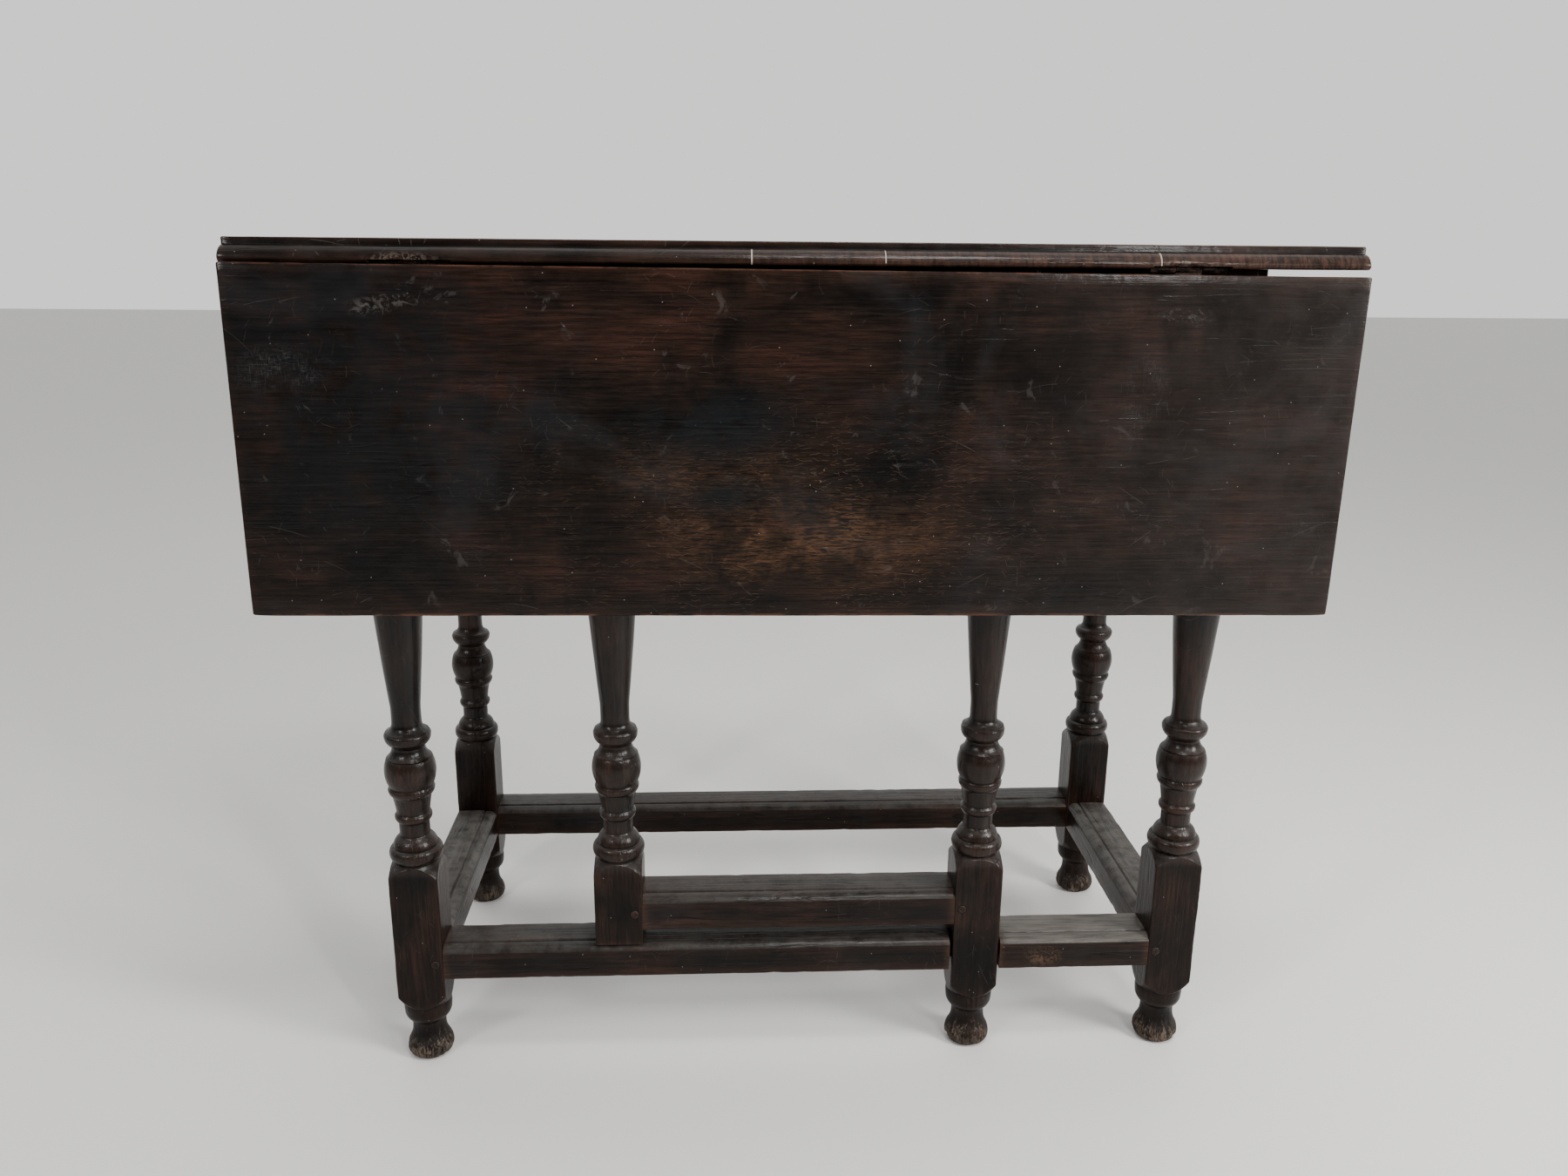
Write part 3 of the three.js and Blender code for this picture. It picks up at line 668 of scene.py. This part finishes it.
def baluster_outline(full, girth):
    """From the lower block's shoulder to the upper one's. full fattens the beads, girth the column."""
    p = [(18.6, 195.6)]
    # base bead, with a line cut above it
    bow(p, 19.5 * full, 208.4, 3.9, 12, True)
    bow(p, 18.7 * full, 208.9, 0, 1)
    bow(p, 19.2 * full, 209.5, 0, 1)
    # small dome, cove and neck
    bow(p, 14.2, 218.0, 0.9, 6)
    bow(p, 12.9, 221.5, -0.4, 4)
    bow(p, 12.9, 231.2, 0, 2)
    # ring and cup
    bow(p, 13.5, 231.8, 0, 1)
    bow(p, 15.9, 236.8, 0.7, 6)
    bow(p, 15.4, 238.6, 0.2, 2)
    bow(p, 14.1, 240.8, -0.1, 3)
    bow(p, 16.6, 256.2, -0.2, 5)
    bow(p, 17.0, 256.7, 0, 1)
    # flange under the ball
    bow(p, 19.7 * full, 261.5, 0.5, 5)
    bow(p, 19.2 * full, 264.0, 0.3, 2)
    bow(p, 18.6 * full, 265.6, -0.1, 2)
    # ball, with a line cut above it, and its cove
    bow(p, 19.6 * full, 290.6, 2.7, 14)
    bow(p, 18.8, 291.1, 0, 1)
    bow(p, 19.1, 291.7, 0, 1)
    bow(p, 14.0, 300.2, -1.0, 7)
    bow(p, 14.0, 301.4, 0, 1)
    # collar
    bow(p, 16.8, 304.4, -0.2, 3)
    bow(p, 17.2, 305.0, 0, 1)
    bow(p, 19.6 * full, 311.0, 0.6, 6)
    bow(p, 18.8 * full, 314.2, 0.4, 3)
    bow(p, 18.1, 314.6, 0, 1)
    bow(p, 18.2, 315.2, 0, 1)
    bow(p, 12.8 * girth, 320.4, -0.9, 6)
    bow(p, 12.4 * girth, 324.0, -0.1, 2)
    # column, and the same turning again at its top
    bow(p, 12.5 * girth, 338.0, -0.1, 4)
    bow(p, 19.2 * girth, 414.0, 0.2, 12)
    bow(p, 20.3 * girth, 447.0, 0.5, 6)
    bow(p, 13.0, 466.0, 2.9, 10)
    bow(p, 12.6, 471.6, -0.2, 3)
    bow(p, 13.4, 472.4, 0, 1)
    bow(p, 13.4, 484.4, 3.6, 10, True)
    bow(p, 13.0, 485.2, 0, 1)
    bow(p, 13.0, 489.0, 0, 2)
    bow(p, 21.6, 499.0, 0.8, 7)
    bow(p, 18.6, 509.9, 2.6, 9, True)
    return p


# the turned shoulders: where they start at the block's ends, and their radius there
FOOT_Z, LOWER_Z, UPPER_Z = 54.8, 195.6, 510.4
INNER_SHOULDER = 18.6
FOOT_SHOULDER = 20.9
# the height left between a shoulder and its square block
RING_GAP = 0.4


def top_shoulder(radius):
    """Fall of the turned shoulder at a block's end, from the root of its bead to a radius."""
    x = radius - INNER_SHOULDER
    return 0.694 * x + 0.0438 * x * x


def foot_shoulder(radius):
    """The same for the shoulder above the foot, which is steeper."""
    x = radius - FOOT_SHOULDER
    return 1.04 * x + 0.05 * x * x


SIDE_POINTS = 16
CORNER_POINTS = 5


def square_ring(corner):
    """Points round the block's square, its corners rounded, starting at the front left one."""
    flat = HALF - corner
    ring = []
    for side in range(4):
        turn = Matrix.Rotation(side * math.pi / 2, 2)
        points = [(-flat + 2 * flat * i / SIDE_POINTS, -HALF) for i in range(SIDE_POINTS + 1)]
        for i in range(1, CORNER_POINTS):
            angle = -math.pi / 2 + math.pi / 2 * i / CORNER_POINTS
            points.append((flat + corner * math.cos(angle), -flat + corner * math.sin(angle)))
        ring += [tuple(turn @ Vector(q)) for q in points]
    return ring


BASE_RING = square_ring(1.4)
BASE_ANGLES = [math.atan2(y, x) for x, y in BASE_RING]
BASE_REACH = [math.hypot(x, y) for x, y in BASE_RING]
TURN_WEAR = 0.16
SHOULDER_STEPS = 7


class Stick:
    """Rows of points up one leg or post, turned and square by stretches."""

    def __init__(self, x, y, seed):
        self.x, self.y, self.seed = x, y, seed
        self.rows = []

    def turned(self, outline, chips=0.0):
        for radius, z in outline:
            row = []
            for angle in BASE_ANGLES:
                c, s = math.cos(angle), math.sin(angle)
                r = radius + TURN_WEAR * rough(c * 20, s * 20, z, 22, self.seed)
                if chips:
                    depth = max(0.0, rough(c * 18, s * 18, z * 0.6, 5.0, self.seed + 3) - 0.12)
                    r -= chips * depth * max(0.0, 1 - z / 17) * min(1.0, radius / 15)
                row.append((self.x + r * c, self.y + r * s, z))
            self.rows.append(row)

    def shoulder(self, z0, radius0, fall, up):
        """The turned shoulder between a bead and the block; up is 1 at a block's foot and -1 at its top."""
        order = range(SHOULDER_STEPS + 1)
        for i in order if up > 0 else reversed(order):
            t = i / SHOULDER_STEPS
            row = []
            for angle, reach in zip(BASE_ANGLES, BASE_REACH):
                r = radius0 + t * (reach - 0.35 - radius0)
                z = z0 + up * fall(r)
                row.append((self.x + r * math.cos(angle), self.y + r * math.sin(angle), z))
            self.rows.append(row)

    def square(self, lower, upper, count):
        """The square block: lower and upper give its end heights for each point round it."""
        for i in range(count + 1):
            t = i / count
            mid = lower[0] + (upper[0] - lower[0]) * t
            wornness = 1.5 + 1.3 * rough(self.x, self.y, mid, 38, self.seed)
            wornness += 0.6 * rough(self.x, 0, mid, 9, self.seed)
            end_round = 0.5 * (math.exp(-i / 1.2) + math.exp(-(count - i) / 1.2))
            ring = square_ring(min(3.4, max(0.7, wornness)))
            row = []
            for k, (px, py) in enumerate(ring):
                z = lower[k] + (upper[k] - lower[k]) * t
                swell = 0.12 * rough(px * 2, py * 2, z, 30, self.seed + 5) - 0.12
                size = math.hypot(px, py)
                scale = 1 + (swell - 0.15 * end_round) / size
                row.append((self.x + px * scale, self.y + py * scale, z))
            self.rows.append(row)

    def build(self, name):
        return mesh_object(name, self.rows)


def block_end(z0, fall, up):
    """Height of a block's arched end at each point round it, just clear of its shoulder."""
    return [z0 + up * fall(reach) + up * RING_GAP for reach in BASE_REACH]


def finish_upper(stick, full, girth, top):
    """The baluster and the upper block, which every stick shares."""
    stick.shoulder(LOWER_Z, INNER_SHOULDER, top_shoulder, -1)
    stick.turned(baluster_outline(full, girth)[1:])
    stick.shoulder(UPPER_Z, INNER_SHOULDER, top_shoulder, 1)
    lower = block_end(UPPER_Z, top_shoulder, 1)
    stick.square(lower, [top] * len(lower), 26)


def make_leg(name, body, seed, full=1.0, girth=1.0, halvings=()):
    """A turned leg from the floor to the top. halvings are the boxes cut out of it."""
    x, y, _ = middle_of(name)
    if name == "gate_leg":
        y = PIVOT_Y
    stick = Stick(x, y, seed)
    stick.turned(foot_outline(), chips=5.0)
    stick.shoulder(FOOT_Z, FOOT_SHOULDER, foot_shoulder, 1)
    stick.square(block_end(FOOT_Z, foot_shoulder, 1), block_end(LOWER_Z, top_shoulder, -1), 34)
    finish_upper(stick, full, girth, edges_of(name)[1][2])
    leg = stick.build(name + "_turned")
    if halvings:
        cut(leg, [block("halving", *corners) for corners in halvings])
    return place_piece(leg, body, "oak", LEG_OAK, name)


def make_post():
    """The gate's post, which ends in a round pivot above and below its blocks."""
    low, high = edges_of("gate_post")
    x, y, _ = middle_of("gate_post")
    bottom = stretcher_high[2] + 0.5
    block_top = apron_low[2] - 2
    pivot, tip = 7.0, 6.4
    stick = Stick(x, y, 31.0)
    stick.turned([(0.5, low[2] + 0.4), (tip, low[2] + 0.4), (pivot, low[2] + 1.2), (pivot, bottom - 0.2)])
    upper = block_end(LOWER_Z, top_shoulder, -1)
    stick.square([bottom] * len(upper), upper, 26)
    finish_upper(stick, 0.975, 1.01, block_top)
    stick.turned([(pivot, block_top + 0.2), (pivot, high[2] - 1.2)])
    stick.turned([(tip, high[2] - 0.4), (0.5, high[2] - 0.4)])
    return place_piece(stick.build("gate_post_turned"), "gate", "oak", LEG_OAK, "gate_post")


def make_gate_leg():
    """The gate's leg, halved over the front stretcher and cut back behind at the apron."""
    left, right = gate_low[0] - FAR, gate_high[0] + FAR
    front = PIVOT_Y - 1.6
    back = front + FAR
    make_leg("gate_leg", "gate", 27.0, full=0.965, girth=0.95, halvings=[
        ((left, front, stretcher_low[2] - 1.5), (right, back, stretcher_high[2] + 1.5)),
        ((left, front, apron_low[2] - 2), (right, back, apron_high[2] + FAR)),
    ])


CORNER_LEGS = {"front_left_leg": 2.0, "front_right_leg": 9.0, "back_left_leg": 15.0, "back_right_leg": 21.0}
for leg_name, leg_seed in CORNER_LEGS.items():
    make_leg(leg_name, "frame", leg_seed, girth=1.0 + 0.01 * math.sin(leg_seed))
make_gate_leg()
make_post()


# ---- rails --------------------

def eased(section, ease):
    """Rounds every corner of a closed outline by a small radius."""
    out = []
    steps = 3
    count = len(section)
    for i in range(count):
        a, b, c = Vector(section[i - 1]), Vector(section[i]), Vector(section[(i + 1) % count])
        before, after = (a - b), (c - b)
        reach = min(ease, before.length * 0.45, after.length * 0.45)
        start, end = b + before.normalized() * reach, b + after.normalized() * reach
        for j in range(steps + 1):
            t = j / steps
            out.append(tuple((1 - t) ** 2 * start + 2 * t * (1 - t) * b + t * t * end))
    return out


def filled(section, longest):
    """Adds points to an outline's long sides, so that they can bow a little."""
    out = []
    for i, point in enumerate(section):
        nxt = section[(i + 1) % len(section)]
        out.append(point)
        length = math.hypot(nxt[0] - point[0], nxt[1] - point[1])
        parts = int(length // longest)
        for j in range(1, parts + 1):
            t = j / (parts + 1)
            out.append((point[0] + (nxt[0] - point[0]) * t, point[1] + (nxt[1] - point[1]) * t))
    return out


def sweep(section, x0, x1, step, warp=0.2, end_ease=0.0, seed=0.0, extra=None):
    """Rows of a straight bar along X. section is [y, z], counter-clockwise seen from +X.

    Its faces waver by warp, its ends are rounded by end_ease, and extra moves a point outwards.
    """
    count = len(section)
    normals = []
    for i in range(count):
        a, b = section[i - 1], section[(i + 1) % count]
        dy, dz = b[0] - a[0], b[1] - a[1]
        length = math.hypot(dy, dz) or 1
        normals.append((dz / length, -dy / length))
    parts = max(1, round((x1 - x0) / step))
    stations = [(x0 + (x1 - x0) * i / parts, 0.0) for i in range(parts + 1)]
    if end_ease:
        turns = [math.radians(a) for a in (0, 30, 60)]
        arcs = [(end_ease * (1 - math.sin(a)), end_ease * (1 - math.cos(a))) for a in turns]
        inner = [s for s in stations if x0 + end_ease < s[0] < x1 - end_ease]
        head = [(x0 + e_in, e_off) for e_off, e_in in arcs] + [(x0 + end_ease, 0.0)]
        tail = [(x1 - end_ease, 0.0)] + [(x1 - e_in, e_off) for e_off, e_in in reversed(arcs)]
        stations = head + inner + tail
    rows = []
    for x, inset in stations:
        row = []
        for (y, z), (ny, nz) in zip(section, normals):
            lift = warp * rough(x, y * 1.5, z * 1.5, 70, seed) - inset
            if extra:
                lift += extra(x, y, z)
            row.append((x, y + ny * lift, z + nz * lift))
        rows.append(row)
    return rows


def worn_edges(section, seed):
    """A wear function for sweep: corners of the outline lose a little, unevenly."""
    depth = 0.8
    low_y, high_y = min(p[0] for p in section), max(p[0] for p in section)
    low_z, high_z = min(p[1] for p in section), max(p[1] for p in section)

    def wear(x, y, z):
        from_side = min(y - low_y, high_y - y)
        from_end = min(z - low_z, high_z - z)
        corner = math.exp(-(from_side + from_end) / 1.6)
        nick = max(0.0, rough(x, y, z, 11, seed) - 0.15) * 2
        nick += 0.3 * max(0.0, rough(x, y, z, 60, seed + 4))
        return -depth * corner * nick
    return wear


def moulded(low, high, mould):
    """The stretchers' section: [across, height], its moulded edge on the side that mould points to."""
    edge, quirk = low[0], low[0] + 11.5
    top = high[1]
    points = [(edge, low[1]), (high[0], low[1]), (high[0], top)]
    points += [(quirk + 2.0, top), (quirk + 1.0, top - 1.7)]
    curve = [(quirk + 0.1, top - 1.5)]
    bow(curve, quirk - 1.6, top - 0.5, 0.3, 3)
    bow(curve, edge, top - 5.4, 1.5, 7)
    points += curve
    if mould > 0:
        points = [(low[0] + high[0] - y, z) for y, z in reversed(points)]
    return points


def make_rail(node, body, run, mould, seed, notch=None):
    """A rail or apron between two sticks. mould is -1 or 1 for a moulded edge on that side, or 0."""
    low, high = edges_of(node)
    tenon, tucked_in = 13.5, 0.6
    along = 0 if run == "x" else 1
    across = 1 - along
    a, b = low[along] + tenon - tucked_in, high[along] - tenon + tucked_in
    lo, hi = (low[across], low[2]), (high[across], high[2])
    sharp = moulded(lo, hi, mould) if mould else [lo, (hi[0], lo[1]), hi, (lo[0], hi[1])]
    section = filled(eased(sharp, 0.8 if mould else 1.0), 9)
    rows = sweep(section, a, b, 7, warp=0.18, seed=seed, extra=worn_edges(section, seed))
    if run == "y":
        # the section was drawn looking along the rail, so turning it from X to Y also mirrors it
        rows = [[(y, x, z) for x, y, z in row] for row in rows][::-1]
    obj = mesh_object(node + "_worn", rows)
    if notch:
        cut(obj, [block("notch", *notch)])
    return place_piece(obj, body, "oak", RAIL_OAK if run == "x" else SIDE_OAK, node)


def notch_for_gate(low, high):
    """Where the gate leg is let into a front rail that reaches from low to high."""
    above = below = 20
    return ((gate_low[0] - 2.4, apron_low[1] - FAR, low[2] - below),
            (gate_high[0] + 1, PIVOT_Y - 1, high[2] + above))


make_rail("front_stretcher", "frame", "x", -1, 3.0, notch_for_gate(stretcher_low, stretcher_high))
make_rail("front_apron", "frame", "x", 0, 5.0, notch_for_gate(apron_low, apron_high))
make_rail("back_stretcher", "frame", "x", -1, 7.0)
make_rail("back_apron", "frame", "x", 0, 8.0)
make_rail("left_stretcher", "frame", "y", 1, 11.0)
make_rail("right_stretcher", "frame", "y", -1, 13.0)
make_rail("left_apron", "frame", "y", 0, 17.0)
make_rail("right_apron", "frame", "y", 0, 19.0)
make_rail("gate_lower_rail", "gate", "x", -1, 23.0)
make_rail("gate_upper_rail", "gate", "x", 0, 29.0)


# ---- top and leaf --------------------

# the rule joint, measured from the hinge's axis
RULE_RADIUS = 12.0
RULE_GAP = 0.7
RULE_TOE = 3.0
LIP_GAP = 0.6
# half the width of the gains that the hinges lie in
GAIN = 30.4
FACE = top_high[2] - HINGE_Z
FLOOR = top_low[2] - HINGE_Z
LEAF_FLOOR = FACE - (leaf_high[1] - leaf_low[1])


def arc_points(radius, start, end, steps, centre=(0.0, 0.0)):
    angles = [math.radians(start + (end - start) * i / steps) for i in range(steps + 1)]
    return [(centre[0] + radius * math.cos(a), centre[1] + radius * math.sin(a)) for a in angles]


def make_top():
    """The fixed top, its front edge a quarter round under a small fillet."""
    back = top_high[1] - HINGE_Y
    edge = 1.6
    toe = math.sqrt((RULE_RADIUS - RULE_TOE) ** 2 - RULE_TOE ** 2)
    toe_start = 180 - math.degrees(math.atan2(RULE_TOE, toe))
    section = arc_points(edge, -90, 0, 4, (back - edge, FLOOR + edge))
    section += arc_points(edge, 0, 90, 4, (back - edge, FACE - edge))
    section += arc_points(1.1, 90, 180, 3, (1.1, FACE - 1.1))
    section += [(0.0, RULE_RADIUS + 0.8), (-0.3, RULE_RADIUS + 0.1)]
    section += arc_points(RULE_RADIUS, 94, toe_start, 15)
    section += arc_points(RULE_TOE, toe_start, 270, 6, (-toe, FLOOR + RULE_TOE))[1:]
    section = filled(section, 14)
    section = [(y + HINGE_Y, z + HINGE_Z) for y, z in section]

    def wear(x, y, z):
        toe_low = math.exp(-max(0.0, y - (HINGE_Y - 9)) / 2.0) * math.exp(-max(0.0, z - HINGE_Z - 3) / 1.6)
        from_hinge = min(abs(x - spot) for spot in HINGE_SPOTS)
        chip = math.exp(-(from_hinge / 24) ** 6)
        bite = max(0.0, rough(x, y, z, 9, 4.0) + 0.25)
        end = math.exp(-(top_high[0] - abs(x)) / 5)
        lip = math.exp(-math.hypot(y - HINGE_Y, z - HINGE_Z - FACE) / 2.5)
        nick = max(0.0, rough(x, y, z, 9, 8.0) - 0.05)
        under = math.exp(-((y - HINGE_Y + 8.5) / 1.6) ** 2 - max(0.0, z - HINGE_Z - 1) / 0.8)
        swollen = 1.2 * under * min(1.0, max(0.0, -(x + 315) / 25))
        nicked = (0.8 * end + 0.7 * lip) * nick
        return swollen - 3.2 * toe_low * chip * bite - nicked - 0.25 * toe_low * nick

    rows = sweep(section, top_low[0], top_high[0], 7, 0.15, end_ease=1.5, seed=41.0, extra=wear)
    top = mesh_object("fixed_top_board", rows)
    cutters = []
    under = HINGE_Z + FLOOR - 5
    # room below for the leaf's plate, the knuckle and the top's plate: [front, back, top]
    steps = [(-FAR, 0, LEAF_FLOOR + 2.6), (-4.2, 4.2, 4.2), (-1, 26.4, FLOOR + 2.3)]
    for spot in HINGE_SPOTS:
        for front, rear, height in steps:
            cutters.append(block("gain", (spot - GAIN, HINGE_Y + front, under),
                                 (spot + GAIN, HINGE_Y + rear, HINGE_Z + height)))
    cut(top, cutters)
    return place_piece(top, "frame", "oak_top", TOP_OAK, "fixed_top")


def make_leaf():
    """The hanging leaf, coved to fit the quarter round, a little out of level."""
    length, sag = LEAF_LENGTH, LEAF_SAG
    cove = RULE_RADIUS + RULE_GAP
    edge = leaf_low[2] - HINGE_Z + sag
    start = 180 - math.degrees(math.acos(LIP_GAP / cove))
    corner = 2.2
    section = [(-LIP_GAP, FACE - 1.0), (-LIP_GAP - 0.3, FACE - 0.3), (-LIP_GAP - 1.0, FACE)]
    section += arc_points(corner, 90, 180, 5, (edge + corner, FACE - corner))
    section += arc_points(corner, 180, 270, 5, (edge + corner, LEAF_FLOOR + corner))
    section += [(-cove - 0.3, LEAF_FLOOR), (-cove, LEAF_FLOOR + 0.3)]
    section += arc_points(cove, 180, start, 12)[1:]
    section = filled(section, 11)

    def wear(x, y, z):
        end = math.exp(-min(x, length - x) / 6)
        outer = math.exp(-(y - edge) / 5)
        lip = math.exp(-abs(y + LIP_GAP) / 2) if z > FACE - 6 else 0
        nick = max(0.0, rough(x, y, z, 10, 51.0) - 0.1)
        return -(0.9 * end * outer + 0.5 * end + 0.4 * outer + 0.5 * lip) * nick - 1.6 * end * outer * 0.5

    rows = sweep(section, 0, length, 7, warp=0.15, end_ease=1.8, seed=47.0, extra=wear)
    skew = math.atan(sag / length)
    c, s = math.cos(skew), math.sin(skew)
    placed = []
    for row in rows:
        turned = [(x * c + y * s - length / 2, -x * s + y * c, z) for x, y, z in row]
        placed.append([(x, HINGE_Y - z, HINGE_Z + LEAF_LIFT + y) for x, y, z in turned])
    leaf = mesh_object("drop_leaf_board", placed)
    cutters = []
    back = HINGE_Y - LEAF_FLOOR
    for spot in HINGE_SPOTS:
        cutters.append(block("gain", (spot - GAIN, back - 2.5, HINGE_Z - 62.4),
                             (spot + GAIN, back + FAR, HINGE_Z)))
    # the eased ends have tiny folds at the cove, which only this solver gets past
    cut(leaf, cutters, "FAST")
    return place_piece(leaf, "leaf", "oak_top", LEAF_OAK, "drop_leaf")


make_top()
make_leaf()


# ---- pegs, nails and hinges --------------------

def make_peg(node, body, seed):
    """A hand-cleft peg: not quite round, its end a little proud and eased."""
    low, high = edges_of(node)
    size = [h - l for l, h in zip(low, high)]
    axis = "xyz"[size.index(max(size))]
    r, end = min(size) / 2, max(size) / 2
    half = [(0.3, 0.0), (r * 0.8, 0.0), (r * 0.96, 0.35), (r, 0.9)]
    outline = [(radius, depth - end) for radius, depth in half]
    outline += [(radius, end - depth) for radius, depth in reversed(half)]
    rows = lathe_rows(outline, middle_of(node), axis, 18, wobble=0.10, seed=seed)
    obj = mesh_object(node + "_cleft", rows, 50)
    return place_piece(obj, body, "peg", PEG_OAK, node)


def make_nail(node, body, seed):
    """A rose-headed wrought nail, its head towards the open side of its plate."""
    low, high = edges_of(node)
    size = [h - l for l, h in zip(low, high)]
    i = size.index(max(size))
    centre = middle_of(node)
    head, tip = (low[i], high[i]) if i == 2 else (high[i], low[i])
    s = 1 if tip > head else -1
    outline = [(0.3, 0.0), (1.6, 0.25), (3.0, 0.8), (3.2, 1.1), (1.6, 1.3)]
    outline += [(1.5, 8.0), (0.9, 15.0), (0.2, 15.1)]
    centre[i] = head
    rows = lathe_rows([(r, s * z) for r, z in outline], centre, "xyz"[i], 10, wobble=0.12, seed=seed)
    obj = mesh_object(node + "_wrought", rows if s > 0 else rows[::-1], 25)
    return place_piece(obj, body, "iron", IRON, node)


for body, nodes in frame["record"]["behaviour"]["bodies"].items():
    for index, node in enumerate(nodes):
        if "peg" in node:
            make_peg(node, body, index * 1.7)
        elif "nail" in node:
            make_nail(node, body, index * 2.3)


def finish_iron(node):
    """Carries a hinge's CAD part over: softened edges and old iron."""
    obj = frame["nodes"][node]
    bevel = obj.modifiers.new("worn_edges", "BEVEL")
    bevel.width = 0.35 * MM
    bevel.segments = 2
    bevel.limit_method = "ANGLE"
    bevel.angle_limit = math.radians(40)
    obj.data.materials.clear()
    obj.data.materials.append(IRON)


for side in ("left", "right"):
    for part in ("top_plate", "leaf_plate", "pin"):
        finish_iron(f"{side}_hinge_{part}")


# ---- floor, light and camera --------------------

def make_floor():
    """A plain pale floor. Its size is in metres."""
    size = 12
    corners = [(-size, -size, 0), (size, -size, 0), (size, size, 0), (-size, size, 0)]
    mesh = bpy.data.meshes.new("floor")
    mesh.from_pydata(corners, [], [(0, 1, 2, 3)])
    s = Shader("floor_paint")
    s.bsdf.inputs["Base Color"].default_value = rgb(0.70, 0.69, 0.67)
    s.bsdf.inputs["Roughness"].default_value = 0.55
    mesh.materials.append(s.material)
    floor = add_object("floor", mesh)


def area_light(name, place, aim, size, power, tint=(1, 1, 1)):
    """A lamp in metres and watts."""
    data = bpy.data.lights.new(name, "AREA")
    data.shape = "RECTANGLE"
    data.size, data.size_y = size
    data.energy = power
    data.color = tint
    lamp = add_object(name, data)
    lamp.location = place
    lamp.rotation_mode = "QUATERNION"
    lamp.rotation_quaternion = (Vector(aim) - Vector(place)).to_track_quat("-Z", "Y")


def make_light():
    """A bright backdrop behind the table, a dim room in front, and a window to the right."""
    world = bpy.data.worlds.new("studio")
    world.use_nodes = True
    tree = world.node_tree
    ray = tree.nodes.new("ShaderNodeTexCoord").outputs["Generated"]
    facing = tree.nodes.new("ShaderNodeVectorMath")
    facing.operation = "DOT_PRODUCT"
    tree.links.new(ray, facing.inputs[0])
    facing.inputs[1].default_value = (0.10, 0.90, 0.42)
    ramp = tree.nodes.new("ShaderNodeMapRange")
    ramp.interpolation_type = "SMOOTHSTEP"
    tree.links.new(facing.outputs["Value"], ramp.inputs["Value"])
    for name, value in (("From Min", -0.30), ("From Max", 0.55), ("To Min", 0.12), ("To Max", 1.10)):
        ramp.inputs[name].default_value = value
    ground = tree.nodes["Background"]
    ground.inputs["Color"].default_value = rgb(0.98, 0.98, 0.97)
    tree.links.new(ramp.outputs["Result"], ground.inputs["Strength"])
    bpy.context.scene.world = world
    middle = (0, 0, 0.35)
    area_light("window", (1.6, -1.05, 1.15), middle, (0.45, 0.85), 42, (1.0, 0.99, 0.97))
    area_light("fill", (-2.4, -1.2, 1.6), middle, (1.6, 1.6), 3, (0.93, 0.96, 1.0))
    area_light("above", (0.3, 1.0, 2.6), middle, (2.2, 1.6), 14)
    area_light("ceiling", (0.3, -0.75, 2.1), middle, (0.6, 0.3), 15)
    area_light("left_glint", (-1.5, -1.6, 1.5), middle, (0.2, 0.8), 17)
    area_light("right_glint", (0.9, -1.9, 1.6), middle, (0.10, 0.8), 16)


def make_camera():
    """Close to the table in metres, level with its top and looking down at its feet."""
    focal, sensor = 28.354, 36.0
    yaw, pitch, roll = (math.radians(a) for a in (-2.90, 15.66, 0.53))
    place = (-0.0629, -1.1317, 0.7197)
    right = Vector((math.cos(yaw), math.sin(yaw), 0))
    ahead = Vector((-math.sin(yaw), math.cos(yaw), 0))
    up = ahead * math.sin(pitch) + Vector((0, 0, math.cos(pitch)))
    ahead = ahead * math.cos(pitch) - Vector((0, 0, math.sin(pitch)))
    turned_right = right * math.cos(roll) + up * math.sin(roll)
    turned_up = up * math.cos(roll) - right * math.sin(roll)
    axes = Matrix((turned_right, turned_up, -ahead)).transposed()
    data = bpy.data.cameras.new("camera")
    data.lens = focal
    data.sensor_width = sensor
    camera = add_object("camera", data)
    camera.matrix_world = Matrix.Translation(place) @ axes.to_4x4()
    bpy.context.scene.camera = camera


make_camera()
make_floor()
make_light()
